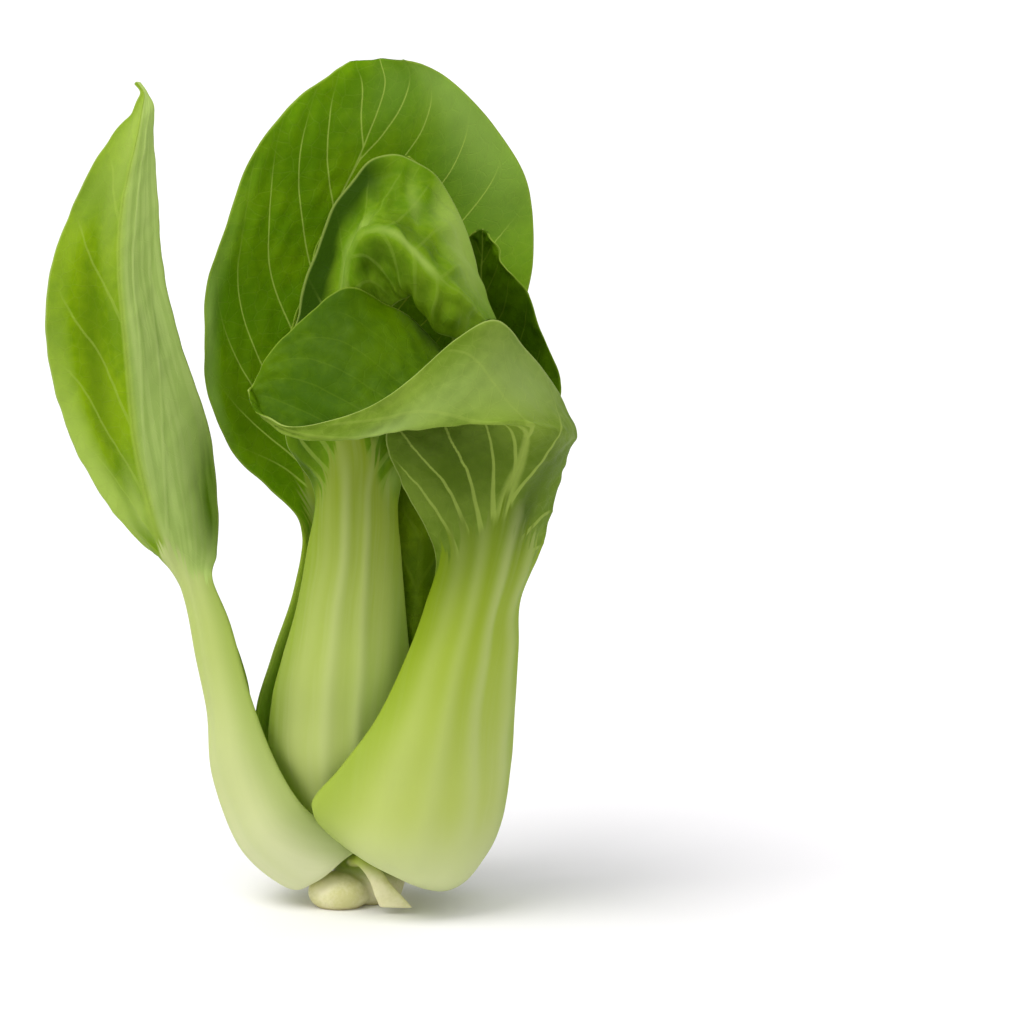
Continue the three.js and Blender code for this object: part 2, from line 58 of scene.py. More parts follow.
# Each leaf is laid out by stations from its base to its tip. A station holds
# three points of the outer face: left margin, rib and right margin, left and
# right as seen from outside the head. A flesh row holds: station, thickness at
# the rib, thickness at the margin, how narrow the rib is, how rounded the fold
# along the rib is, and how much of the rib stands out of the outer face.
# wave: first waved station, height, number of waves, phase in turns. belly: a
# station, and how far the left and the right half sag inwards there.
LEAVES = {
    # outermost, left: upright, its blade folded lengthwise with the rib outwards
    "leaf_left_upright": {
        "stations": [
            [[-8, 8, 12.4], [-8.5, -5, 11], [-0.5, -10.4, 14.2]],
            [[-11, 11.3, 10.4], [-12, -8.5, 6.4], [-2.8, -13, 15.2]],
            [[-15, 14.5, 10.8], [-18, -8, 5.2], [-7.2, -14.9, 19.9]],
            [[-21, 18, 17], [-29, -6, 14.5], [-14.5, -18.6, 27]],
            [[-27.5, 16, 34], [-35.2, -5, 31], [-20.8, -17.6, 37.5]],
            [[-29, 10, 52], [-36.6, -6, 48], [-26.2, -15, 52]],
            [[-34, 4, 68], [-38.8, -7, 64], [-30.6, -12, 68]],
            [[-41.5, 0, 79], [-42, -8, 77], [-34.6, -10, 78.5]],
            [[-50, -2, 84], [-45.3, -10, 86], [-33.8, -6, 84]],
            [[-58.5, -4, 94], [-48, -13, 95], [-33.3, -7, 95]],
            [[-67.9, -6, 111], [-51.5, -16, 112], [-34.8, -8, 112]],
            [[-72.4, -6, 130], [-53, -17, 132], [-41, -9, 132]],
            [[-72, -5, 149.5], [-54.6, -16, 151], [-45, -9, 151]],
            [[-66.2, -5, 165.2], [-53.5, -14, 167], [-46.5, -9, 167]],
            [[-57.2, -6, 180.7], [-50.8, -12, 180], [-46.8, -7.5, 180.5]],
            [[-52.2, -7.5, 186.9], [-49.6, -9.3, 187], [-47.2, -8, 187.3]],
            [[-50.3, -8, 190.3], [-49.3, -8.4, 190.6], [-48.2, -8, 190.6]],
            [[-51.6, -8, 192.6], [-51, -8.1, 193.2], [-50, -8, 193]],
        ],
        "flesh": [
            [0, 1.6, 1.2, 1, 3, 0], [1, 2, 1.2, 1, 3, 0], [2, 3.4, 1.8, 1, 3, 0], [4, 6, 2.2, 1, 3, 0],
            [5.5, 4, 1.5, 1, 3, 0], [7, 3, 1.1, 1.5, 1.6, 0.2], [9, 2.2, 0.8, 24, 0.4, 0.8],
            [12, 1.6, 0.8, 40, 0.3, 0.9], [14, 1.2, 0.8, 30, 0.5, 0.9], [15.5, 0.9, 0.7, 10, 1.5, 0.9],
            [17, 0.7, 0.7, 10, 3, 0.9],
        ],
        "wave": [8, 0.35, 4, 0.3],
        "belly": [[8, 0, 0], [10, 2, 0.6], [12, 2, 0.6], [14, 0.5, 0], [16, 0, 0]],
    },
    # outermost, right: its blade flops over and to the left, folded like a boat
    "leaf_right_folded": {
        "stations": [
            [[-0.5, -11.5, 14.3], [8, -8, 9.5], [9, 7, 12]],
            [[-7.6, -18, 19.5], [14, -18, 6.8], [20.5, 12, 8]],
            [[-12, -22, 27.5], [18.5, -25, 12], [31.6, 9, 17]],
            [[-5, -24, 37], [21, -28, 29], [34.8, 3, 33]],
            [[3, -24, 48], [23, -29, 45], [35.8, -3, 48]],
            [[9.5, -22, 61], [25, -28, 60], [36.6, -8, 62]],
            [[14.5, -20, 74], [28, -27, 74], [37, -12, 74]],
            [[17, -20, 86], [31, -27, 88.5], [41.8, -16, 86.5]],
            [[9.7, -22, 102], [33.6, -32, 101.5], [45.2, -20, 100]],
            [[6, -24, 113], [37.1, -40, 111.5], [47.8, -27, 110]],
            [[9.5, -20, 121], [38.1, -47, 118.1], [49.5, -29.5, 114.9]],
            [[14.2, -16, 127.7], [34.8, -50.5, 120.2], [47.3, -28.7, 121.1]],
            [[17.3, -15.2, 133.6], [30.7, -53.4, 120.2], [40.8, -32.3, 130.7]],
            [[13, -21.7, 138.7], [21.3, -52, 119.5], [32.2, -43.6, 141.8]],
            [[6.4, -24, 143.7], [11.8, -50, 118.4], [22.8, -47, 138.3]],
            [[-1.7, -27, 147.6], [1.7, -47, 116.8], [12, -49, 129]],
            [[-10, -28, 142.8], [-7, -44, 116], [3, -48, 123]],
            [[-18.6, -30, 134.4], [-15, -41, 116.5], [-8, -45, 119]],
            [[-23.2, -32, 126.8], [-20.5, -38, 118.8], [-16, -41.5, 118]],
            [[-24.5, -36, 125.5], [-24, -36.5, 123], [-22.5, -38, 120.5]],
        ],
        "flesh": [
            [0, 4.5, 3, 1, 3, 0], [1, 6, 3, 1, 3, 0], [3, 7.5, 2.2, 1, 3, 0], [5, 6, 1.6, 1, 3, 0],
            [6, 5, 1.2, 1.5, 2, 0.2], [8, 3, 0.8, 12, 1, 0.8], [10, 1.8, 0.8, 12, 0.85, 0.8],
            [11.5, 1.5, 0.8, 12, 0.5, 1], [13, 1.3, 0.8, 12, 0.3, 1], [17, 1.1, 0.8, 12, 0.3, 1],
            [19, 0.8, 0.7, 10, 0.4, 1],
        ],
        "wave": [9, 0.4, 5, 0.1],
    },
    # second layer, back left: the tallest, a broad round blade facing forwards
    "leaf_back_tall": {
        "stations": [
            [[5, 9, 14], [-3, 10, 11], [-7, 5, 16]],
            [[11, 20, 12], [-5, 24, 7], [-16, 8.5, 18]],
            [[14, 25, 22], [-8, 31, 18], [-23, 9, 26]],
            [[13, 26, 40], [-9, 31, 38], [-26.5, 7, 42]],
            [[8, 22, 58], [-9, 27, 57], [-22.5, 7, 57]],
            [[2, 17.5, 75], [-9, 22, 74], [-17, 7, 73]],
            [[-2, 14, 90], [-10.5, 17, 89], [-15, 7.5, 88]],
            [[6, 18, 99], [-11, 17, 100], [-22.6, 9, 97]],
            [[20, 23, 110], [-13, 17.5, 111], [-30.8, 10, 105]],
            [[31, 26, 125], [-15, 18, 124], [-36.2, 10, 117.5]],
            [[38, 28, 140], [-14.5, 19, 137], [-37.8, 10, 131]],
            [[40, 29, 155], [-12, 20, 150], [-36.2, 11, 147]],
            [[38, 28, 169], [-7, 20, 163], [-31, 12, 163]],
            [[31, 25, 181], [-2, 19, 173], [-24.6, 12, 177.8]],
            [[22.6, 20, 190.6], [2, 17, 182.5], [-15.6, 12, 188.2]],
            [[15, 16, 196], [5, 15, 191.5], [-7.5, 12, 194.4]],
            [[10.5, 12.5, 197.4], [4, 13, 197.7], [-3, 12.3, 197.2]],
        ],
        "flesh": [
            [0, 4.5, 3, 1, 3, 0], [1, 6, 3, 1, 3, 0], [3, 7, 2.2, 1, 3, 0], [5, 5, 1.6, 1, 3, 0],
            [6, 4, 1.2, 1.5, 2, 0.2], [8, 3, 0.8, 12, 1, 0.8], [12, 2, 0.8, 14, 1, 0.8],
            [16, 0.8, 0.7, 10, 1, 0.8],
        ],
        "wave": [8, 0.6, 5, 0.7],
    },
    # second layer, front: a ribbed stalk, and a blade crumpled into a hood
    "leaf_front_hooded": {
        "stations": [
            [[-6, -4, 18.5], [-2, -7.5, 17], [3.5, -5, 18.5]],
            [[-15, -6, 24.8], [-5, -14, 22], [8, -10, 24]],
            [[-22, -9, 37], [-6, -19, 34], [11, -11, 37]],
            [[-21.5, -11, 50], [-5.5, -21, 48], [12, -12, 50]],
            [[-19, -12, 60], [-4.5, -21, 60], [11.5, -12, 60]],
            [[-15.5, -12, 72], [-3.5, -20, 72], [10.5, -12, 72]],
            [[-13, -12, 85], [-2, -19.5, 85], [9.5, -12, 85]],
            [[-11, -12, 99], [-1.5, -19, 99], [8.8, -12, 98]],
            [[-17, -12, 110], [-1.5, -19, 109], [13, -10, 110]],
            [[-18.5, -9, 123], [-4, -20, 122], [19, -8, 122]],
            [[-15.8, -6, 136], [-3.6, -22, 136], [14, -10, 134]],
            [[-13.6, -5.5, 145.5], [-1.8, -23.5, 144.5], [8, -16, 139]],
            [[-10.3, -5, 155.8], [-1.6, -24.5, 152.5], [6.5, -19, 141.5]],
            [[-5.4, -5, 166.2], [1.4, -26, 159.4], [8.2, -21, 143.2]],
            [[1, -5, 174.2], [7.3, -27, 159.9], [10.5, -22.5, 144.8]],
            [[8.6, -5, 176.6], [12.1, -27.5, 156.2], [13, -24, 145.2]],
            [[15.6, -5, 173], [16.2, -28, 152.3], [14.6, -25, 141.5]],
            [[21.8, -6, 165.5], [20, -28, 148.6], [17.2, -26, 138]],
            [[26.5, -7.5, 152], [23.8, -26.5, 145.4], [21.5, -27, 136]],
            [[31.2, -11, 139], [28.5, -21, 139.5], [26, -25, 135]],
        ],
        "flesh": [
            [0, 2.2, 1.6, 1, 3, 0], [1, 4, 1.8, 1, 3, 0], [3, 6, 1.8, 1, 3, 0], [6, 5, 1.2, 1, 3, 0],
            [7, 4.5, 1, 1.5, 3, 0.2], [9, 3, 0.8, 12, 1, 0.8], [12, 2, 0.8, 14, 0.4, 1],
            [19, 0.8, 0.7, 10, 0.4, 1],
        ],
        "wave": [9, 0.3, 6, 0.5],
        "belly": [
            [9, 0, 0], [10, 3, 0], [11, 5, 0], [13, 5.5, -1.5], [14, 4, -2], [15, 2, -2], [17, 1, -1.5],
            [19, 0, 0],
        ],
    },
    # third layer, back right: dark, a little shorter, leaning outwards
    "leaf_back_right": {
        "stations": [
            [[7.5, 1.5, 18], [7, 6, 16.5], [1.5, 6.5, 19]],
            [[14, 2, 22], [16.5, 14.5, 12], [3, 13, 20]],
            [[22, 3, 29], [24, 18, 20], [2, 17, 26]],
            [[25, 1, 42], [27, 17, 38], [3, 17, 39]],
            [[26, 0, 56], [28, 15, 55], [6, 16, 55]],
            [[27, 1, 70], [29, 13, 70], [11, 14, 70]],
            [[29, 3, 84], [29, 12, 85], [17, 12, 85]],
            [[35, 2, 92], [29, 13, 97], [12, 13, 94]],
            [[43, 1, 104], [30, 14, 110], [7, 13, 106]],
            [[46, 0, 118], [30, 15, 123], [6, 13.5, 120]],
            [[43, 0, 134], [29, 15, 137], [8, 14, 136]],
            [[36.5, 2, 146], [28, 13, 147], [15, 14, 148]],
            [[32, 6, 153], [28, 11, 154.5], [22, 12, 155]],
            [[29.5, 8.5, 157], [28, 9.5, 158.2], [26, 9.5, 157.6]],
        ],
        "flesh": [
            [0, 1.8, 1.3, 1, 3, 0], [1, 2, 1.4, 1, 3, 0], [2, 2.6, 1.6, 1, 3, 0], [3, 4.6, 1.8, 1, 3, 0],
            [5, 4.4, 1.4, 1, 3, 0], [6, 3.4, 1.1, 1.5, 2, 0.2], [8, 2.6, 0.8, 12, 1, 0.8],
            [11, 2, 0.8, 14, 1, 0.8], [13, 0.8, 0.7, 10, 1, 0.8],
        ],
        "wave": [7, 0.9, 4, 0.2],
    },
    # third layer, back left: a cupped blade behind the hooded one
    "leaf_inner_cupped": {
        "stations": [
            [[0, 7, 19], [-6, 5, 17], [-8, -1, 19]],
            [[-2, 13, 28], [-12, 10, 26], [-16, -1, 30]],
            [[-3, 15, 42], [-15, 12, 41], [-19, -3, 44]],
            [[-2, 13, 60], [-13, 11, 60], [-16, -3, 60]],
            [[0, 10, 80], [-9, 9, 80], [-12, -3, 80]],
            [[3, 8, 98], [-5, 8, 98], [-10, -3, 97]],
            [[13, 7, 112], [-2, 9, 114], [-15, -4, 110]],
            [[20, 6, 128], [1, 10, 130], [-18, -4, 124]],
            [[23, 6, 143], [3, 10, 145], [-16, -3, 137]],
            [[23, 6, 157], [5, 10, 159], [-12, -1, 150]],
            [[19, 6, 168], [7, 9, 169], [-6, 1, 165]],
            [[11, 6, 175.5], [7.5, 7, 175.5], [3, 3, 174]],
        ],
        "flesh": [
            [0, 3.5, 2, 1, 3, 0], [1, 4, 2, 1, 3, 0], [3, 4.5, 1.5, 1, 3, 0], [4, 4, 1.2, 1, 3, 0],
            [5, 3.5, 1, 1.5, 2, 0.2], [7, 2.5, 0.8, 12, 1, 0.8], [10, 1.6, 0.8, 14, 1, 0.8],
            [11, 0.8, 0.7, 10, 1, 0.8],
        ],
        "wave": [6, 0.5, 4, 0.9],
    },
    # inner layer, front: its blade starts low, between the two front stalks
    "leaf_inner_front": {
        "stations": [
            [[3, -3, 20.5], [5, -3.5, 19], [7, 0, 20.5]],
            [[2, -4, 32], [10, -6, 30], [14, 0, 32]],
            [[3, -5, 46], [12, -8, 45], [17, 0, 46]],
            [[3, -6, 60], [13, -9, 60], [21, -3, 60]],
            [[1, -6, 75], [13, -9.5, 75], [24, -4, 75]],
            [[1, -6, 89], [14, -9, 90], [24, -3, 89]],
            [[5, -4, 101], [14, -7, 102], [22, -3, 101]],
            [[11, -4, 108], [14, -4.5, 109], [17, -3, 108]],
        ],
        "flesh": [
            [0, 0.9, 0.8, 1, 3, 0], [1, 1.7, 1, 1, 3, 0], [2, 2, 0.9, 3, 3, 0.3], [4, 1.8, 0.8, 12, 1, 0.8],
            [7, 0.8, 0.7, 10, 1, 0.8],
        ],
        "wave": [3, 0.8, 3, 0.4],
    },
    # inner layer, back
    "leaf_inner_back": {
        "stations": [
            [[4, 2, 21.5], [3, 4, 20.5], [0, 3.5, 21.5]],
            [[8, 3, 34], [6, 9, 32], [0, 8, 34]],
            [[10, 3, 50], [8, 10, 49], [1, 7.5, 50]],
            [[12, 1, 66], [9, 8, 66], [1, 5, 66]],
            [[16, -1, 80], [10, 6, 82], [1, 3, 80]],
            [[18, -1, 94], [11, 4, 97], [0, 1, 93]],
            [[17, -2, 107], [10, 3, 110], [-1, -1, 106]],
            [[13, -2, 118], [9, 1, 121], [2, -1, 118]],
            [[9.5, -1.5, 126], [8, -1, 127.5], [6, -1.5, 126]],
        ],
        "flesh": [
            [0, 0.9, 0.8, 1, 3, 0], [1, 1.8, 1, 1, 3, 0], [3, 2.2, 1, 1.5, 3, 0.2],
            [5, 1.8, 0.8, 12, 1.2, 0.8], [8, 0.8, 0.7, 10, 1, 0.8],
        ],
        "wave": [4, 0.8, 3, 0.1],
    },
    # the youngest leaf, in the middle
    "leaf_heart": {
        "stations": [
            [[-3, 1, 22], [-4, -1, 21], [-1, -3, 22]],
            [[-7, 3, 36], [-8, -2, 35], [-2, -6, 36]],
            [[-8, 4, 52], [-9, -2, 52], [-2, -7, 52]],
            [[-7, 3, 66], [-8, -2, 68], [-1, -7, 66]],
            [[-5, 2, 78], [-5.5, -2, 81], [-1, -5, 78]],
            [[-3.8, -0.4, 86.2], [-3, -1.2, 86.8], [-1.8, -2.2, 86.2]],
        ],
        "flesh": [
            [0, 1, 0.8, 1, 3, 0], [1, 1.4, 0.9, 1, 3, 0], [3, 1.5, 0.8, 6, 1.2, 0.6],
            [5, 0.7, 0.7, 10, 3, 0.8],
        ],
        "wave": [2, 0.5, 2, 0.6],
    },
}


def fan(first, last, count, reach):
    """Side veins spaced evenly up the rib, shorter towards the tip."""
    veins = []
    for k in range(count):
        share = k / (count - 1)
        start = first + (last - first) * share
        veins.append((start, start + reach * (1 - 0.55 * share)))
    return veins


# How each leaf grows. blade: the stations where the thin blade starts, at the
# margins and at the rib. ribs: soft ridges down the outside of the stalk, each
# its place across, its half width and its height in mm. veins: the side veins
# left and right of the rib, each from its station on the rib to its station on
# the margin. pucker: how far the skin swells between the veins, in mm. skins: the
# skin of the back and of the front. Some leaves have more. crumple: the first
# station of a crumpled blade, and how far it swells in mm. relief: how far the
# veins stand out, left and right. pleats: first and last station, height and
# spacing in mm of the pleats in the left half. tones: dabs of painted shade and
# painted sheen, partly the leaf's own deeper and paler green, each its station,
# its place across, its reach both ways, and from -1, dark, to 1, pale.
# clear: a station, and how clearly the veins and the rib show from there on.
GROWTH = {
    "leaf_left_upright": {
        "blade": (6.6, 8.2),
        "ribs": [(-0.45, 0.13, 0.4), (0.02, 0.1, 0.5), (0.4, 0.12, 0.4)],
        "veins": (
            [(7.2, 9.0), (8.2, 10.1), (9.2, 11.0), (10.1, 11.9), (11.3, 12.9), (12.6, 14.0), (13.8, 15.0)],
            [(7.2, 13.5), (8.4, 19.0)],
        ),
        "pucker": 0.2,
        "relief": (0.7, 0.12),
        "tones": [
            (10.9, -0.55, 2.0, 0.22, -0.7), (9.3, -0.95, 1.8, 0.35, 0.9), (14.2, -0.35, 2.0, 0.6, 0.75),
            (9.0, -0.35, 0.6, 0.35, 0.8), (9.1, 1.0, 1.2, 0.35, -1.15),
        ],
        "slot": "leaf_light",
        "skins": ("bright_back", "bright_front"),
    },
    "leaf_right_folded": {
        "blade": (6.7, 7.8),
        "ribs": [(-0.6, 0.16, 0.25), (-0.22, 0.12, 0.35), (0.2, 0.11, 0.6), (0.72, 0.12, 0.5)],
        "veins": (
            [(3.8, 8.5), (4.8, 9.6), (5.6, 11.1), (6.4, 14.3), (8.3, 16.2), (10.2, 17.2), (11.8, 17.9),
             (13.3, 18.5), (14.9, 19.2)],
            [(6.4, 7.2), (6.7, 7.7), (7.6, 11.9), (9.6, 14.5), (11.6, 17.5), (13.6, 20.0), (16.0, 22.0)],
        ),
        "pucker": 0.25,
        "relief": (0.8, 0.8),
        "tones": [
            (8.8, -0.55, 1.5, 0.55, -0.8), (8.9, 0.45, 1.2, 0.45, -0.5), (13.3, 0.45, 1.0, 0.3, 0.4),
            (12.0, 0.75, 0.9, 0.3, 0.6), (14.7, 0.2, 0.8, 0.25, 0.6), (7.6, 0.35, 0.6, 0.25, -0.6),
            (15.3, -0.75, 1.0, 0.35, -0.5),
        ],
        "clear": [(10.2, 1), (11.4, 0.3)],
        "slot": "leaf_light",
        "skins": ("folded_back", "folded_front"),
    },
    "leaf_back_tall": {
        "blade": (5.7, 7.4),
        "ribs": [(-0.4, 0.14, 0.4), (0.1, 0.12, 0.5), (0.5, 0.14, 0.4)],
        "veins": (
            [(5.9, 8.2), (6.1, 10.2), (6.5, 11.6), (7.8, 12.7), (9.0, 13.8), (11.2, 15.2), (13.0, 16.4)],
            [(5.7, 8.3), (5.9, 9.9), (6.3, 11.6), (7.0, 13.0), (9.3, 13.8), (10.8, 14.6), (11.9, 15.4),
             (13.4, 16.6)],
        ),
        "pucker": 0.35,
        "tones": [
            (13.4, -0.9, 2.2, 0.25, 0.9), (15.0, -0.2, 1.2, 0.5, 0.3), (8.3, 0.7, 1.3, 0.4, -0.35),
            (9.8, 0.96, 1.6, 0.14, 1.2), (3.0, 0.95, 1.5, 0.3, 1.2),
        ],
        "slot": "leaf_dark",
        "skins": ("dull_back", "tall_front"),
    },
    "leaf_front_hooded": {
        "blade": (6.5, 8.7),
        "ribs": [(-0.55, 0.16, 0.25), (-0.15, 0.13, 0.6), (0.29, 0.1, 0.55), (0.7, 0.12, 0.2)],
        "veins": (
            [(5.8, 7.9), (6.2, 8.8), (6.7, 9.9), (7.4, 11.4), (8.8, 12.8), (10.4, 14.2), (12.0, 15.4),
             (13.6, 16.4), (15.0, 17.4), (16.6, 18.4)],
            [(5.9, 8.0), (6.4, 9.0), (7.0, 10.2), (7.9, 11.4), (9.4, 12.4), (11.0, 13.3), (12.2, 13.9),
             (13.6, 14.6), (15.0, 15.7), (16.4, 17.0)],
        ),
        "pucker": 0.25,
        "crumple": (11, 0.5),
        "relief": (0.5, 0.8),
        "pleats": (13.5, 18.0, 0.22, 5.5),
        "tones": [
            (12.0, -1.0, 1.5, 0.13, -1.6), (10.8, -1.0, 1.2, 0.2, -1.4), (13.7, -0.95, 0.8, 0.2, -0.75),
            (12.0, -0.45, 1.3, 0.3, 1), (12.9, 0.3, 1.3, 0.22, -0.6), (14.3, 0.0, 0.9, 0.09, 0.6),
            (15.7, 0.02, 0.9, 0.1, 0.7), (15.3, -0.28, 1.3, 0.18, -0.5), (14.6, -0.7, 0.8, 0.35, -0.15),
            (15.5, -0.55, 0.3, 0.3, 0.4), (17.5, -0.8, 1.2, 0.35, 0.8), (16.0, -0.9, 0.25, 0.2, -0.3),
            (15.8, 0.6, 2.4, 0.4, -0.45), (8.4, -0.75, 0.9, 0.3, -0.7), (8.6, 0.65, 0.8, 0.3, -0.4),
            (2.8, -0.85, 1.3, 0.3, -0.35), (3.2, 0.6, 1.2, 0.4, 0.6), (7.4, -0.95, 0.5, 0.15, -0.5),
            (4.6, 0.95, 1.0, 0.2, 0.8), (7.3, 0.8, 0.4, 0.15, 0.6),
        ],
        "clear": [(10.5, 1), (12.0, 0.35)],
        "slot": "leaf_light",
        "skins": ("hood_back", "deep_front"),
    },
    "leaf_back_right": {
        "blade": (5.6, 7.2),
        "ribs": [(-0.4, 0.14, 0.3), (0.1, 0.12, 0.4), (0.5, 0.14, 0.3)],
        "veins": (fan(6.1, 12.2, 8, 2.6), fan(6.2, 12.4, 8, 2.4)),
        "pucker": 0.5,
        "slot": "leaf_dark",
        "skins": ("dull_back", "shaded_front"),
    },
    "leaf_inner_cupped": {
        "blade": (4.4, 6.2),
        "ribs": [(0.0, 0.2, 0.4)],
        "veins": (fan(5.2, 10.2, 7, 2.4), fan(5.3, 10.3, 7, 2.4)),
        "pucker": 0.4,
        "slot": "leaf_dark",
        "skins": ("dull_back", "deep_front"),
    },
    "leaf_inner_front": {
        "blade": (1.2, 2.4),
        "ribs": [(0.0, 0.2, 0.3)],
        "veins": (fan(1.6, 6.4, 7, 1.8), fan(1.7, 6.5, 7, 1.8)),
        "pucker": 0.4,
        "slot": "leaf_inner",
        "skins": ("inner_back", "shaded_front"),
    },
    "leaf_inner_back": {
        "blade": (2.8, 4.2),
        "ribs": [(0.0, 0.2, 0.3)],
        "veins": (fan(3.4, 7.4, 6, 1.6), fan(3.5, 7.5, 6, 1.6)),
        "pucker": 0.3,
        "slot": "leaf_inner",
        "skins": ("dull_back", "deep_front"),
    },
    "leaf_heart": {
        "blade": (1.6, 2.6),
        "ribs": [],
        "veins": (fan(2.0, 4.4, 5, 1.0), fan(2.1, 4.5, 5, 1.0)),
        "pucker": 0.2,
        "slot": "leaf_inner",
        "skins": ("fresh_back", "deep_front"),
    },
}
LARGE_LEAVES = ("leaf_left_upright", "leaf_right_folded", "leaf_back_tall", "leaf_front_hooded")

# In stations, before and after the line where the blade starts
BLADE_CHANGE = (-0.4, 0.7)  # from fleshy stalk to thin blade
STALK_CHANGE = (-0.5, 1.2)  # the ridges of the stalk fade
WAVE_LAG = 0.27  # turns, of the waves in the right margin after those in the left
VEIN_HUG = 0.85  # below 1, a side vein runs up beside the rib before it leaves it
VEIN_WIDTH = 0.9  # mm, of a side vein
VEIN_FOOT = 1.6  # how much wider it is where the blade starts
VEIN_THINNING = 0.65  # share of its width that is lost on the way to the margin
VEIN_SPREAD = 0.6  # of its width, how far its ridge reaches to each side
VEIN_RIDGE = 0.22  # mm, that it stands out of the back of the blade
VEIN_GROOVE = 0.1  # mm, that it sinks into the front
VEIN_OUTER = 0.8  # stations, that the count runs on past the first and the last vein
VEIN_GAP_MOST = 40  # mm, from one side vein to the next
# mm, half the rib: at the base, where the blade starts, two stations on, at the tip
RIB_REACH = (6, 2.2, 1.0, 0.35)
RIB_TALLEST = 0.6  # mm, of the ridges down a stalk
RIB_THINNED = 0.8  # share of the thickness lost inside a sharp fold, which keeps it open
RIB_THINNED_REACH = 0.14  # how far out from the rib that goes
LAYOUT_UNIT = 100  # mm, one unit of a leaf's flat layout
# Unevenness of a leaf: height in mm, and length in mm from one wave to the next
SWELL = (0.35, 26)  # slow, all over
FINE_SWELL = (0.12, 6)  # over the blade
CRUMPLE_LENGTH = 7
PLEAT_SWAY = (0.3, 24)  # turns of a pleat, and mm


# ---------------------------------------------------------------- leaf shapes
def smooth(value, low, high):
    """0 below low, 1 above high, and a soft step between."""
    x = np.clip((value - low) / (high - low), 0, 1)
    return x * x * (3 - 2 * x)


def along(points, t):
    """Points on the smooth curve through a row of points, at the places t."""
    p = np.asarray(points, float)
    p = np.concatenate([[2 * p[0] - p[1]], p, [2 * p[-1] - p[-2]]])
    i = np.minimum(np.floor(t).astype(int), len(p) - 4)
    f = (t - i)[:, None]
    a, b, c, d = p[i], p[i + 1], p[i + 2], p[i + 3]
    return 0.5 * (2 * b + (c - a) * f + (2 * a - 5 * b + 4 * c - d) * f**2 + (3 * b - a - 3 * c + d) * f**3)


def outer_face(leaf, u, t):
    """The outer face at every u and t: a rounded V through each station's three points."""
    stations = np.asarray(leaf["stations"], float)
    left, rib, right = (along(stations[:, k], t)[:, None, :] for k in range(3))
    flesh = np.asarray(leaf["flesh"], float)
    blunt = np.interp(t, flesh[:, 0], flesh[:, 4])[:, None]
    rise = (np.hypot(u, blunt) - blunt) / (np.hypot(1, blunt) - blunt)
    return rib + (right - left) * (u / 2)[None, :, None] + ((left + right) / 2 - rib) * rise[:, :, None]


def swell(x, y, length, seed):
    """Slow random waves over a surface, mostly between -1 and 1."""
    draw = random.Random(seed)
    total = np.zeros_like(x)
    for _ in range(9):
        turn = draw.uniform(0, math.tau)
        pace = math.tau / length * draw.uniform(0.6, 1.5)
        total += np.sin((x * math.cos(turn) + y * math.sin(turn)) * pace + draw.uniform(0, math.tau))
    return total / 3


def lengths(points, axis):
    """Distance run from the first point along one way of a grid."""
    run = np.cumsum(np.linalg.norm(np.diff(points, axis=axis), axis=2), axis=axis)
    pad = [(0, 0), (0, 0)]
    pad[axis] = (1, 0)
    return np.pad(run, pad)


def vein_count(pairs, u, t, seed):
    """A number that passes 0, 1, 2 ... exactly on the side veins, first to last."""
    draw = random.Random(seed)
    lines = []
    for start, end in pairs:
        sway = draw.uniform(0.05, 0.12) * np.sin(draw.uniform(5, 9) * u + draw.uniform(0, math.tau)) * u
        lines.append(start + (end - start) * u**VEIN_HUG + sway)
    count = np.clip((t - lines[0]) / VEIN_OUTER, -0.49, 0)
    for below, above in zip(lines, lines[1:]):
        count = count + np.clip((t - below) / np.maximum(above - below, 0.05), 0, 1)
    return count + np.clip((t - lines[-1]) / VEIN_OUTER, 0, 0.49)


def leaf_grid(name, crosswise, per_station):
    """The middle surface of a leaf as a grid of points in mm, and where each point lies."""
    leaf = LEAVES[name]
    last = len(leaf["stations"]) - 1
    v = np.linspace(-1, 1, crosswise + 1)
    u1 = np.sign(v) * np.abs(v) ** RIB_CROWDING
    t1 = np.linspace(0, last, last * per_station + 1)
    middle = outer_face(leaf, u1, t1)
    side = outer_face(leaf, u1 + STEP, t1) - outer_face(leaf, u1 - STEP, t1)
    above, below = np.minimum(t1 + STEP, last), np.maximum(t1 - STEP, 0)
    inward = np.cross(outer_face(leaf, u1, above) - outer_face(leaf, u1, below), side)
    inward /= np.maximum(np.linalg.norm(inward, axis=2, keepdims=True), 1e-12)
    u, t = np.meshgrid(u1, t1)

    # Distances over the surface in mm: across from the rib, and up the leaf
    half = crosswise // 2
    across = lengths(middle, 1)
    across = across - across[:, half : half + 1]
    upward = np.repeat(lengths(middle, 0)[:, half : half + 1], crosswise + 1, axis=1)
    to_margin = np.where(u < 0, across - across[:, :1], across[:, -1:] - across)

    # Where the flesh of the stalk gives way to the thin blade
    at_margin, at_rib = GROWTH[name]["blade"]
    begins = at_rib + (at_margin - at_rib) * np.abs(u) ** 0.8
    before, after = BLADE_CHANGE
    blade = smooth(t, begins + before, begins + after)
    before, after = STALK_CHANGE
    stalk = 1 - smooth(t, at_margin + before, at_rib + after)
    return SimpleNamespace(
        name=name, last=last, u=u, t=t, middle=middle, inward=inward, across=across, upward=upward,
        to_margin=to_margin, blade=blade, stalk=stalk,
    )


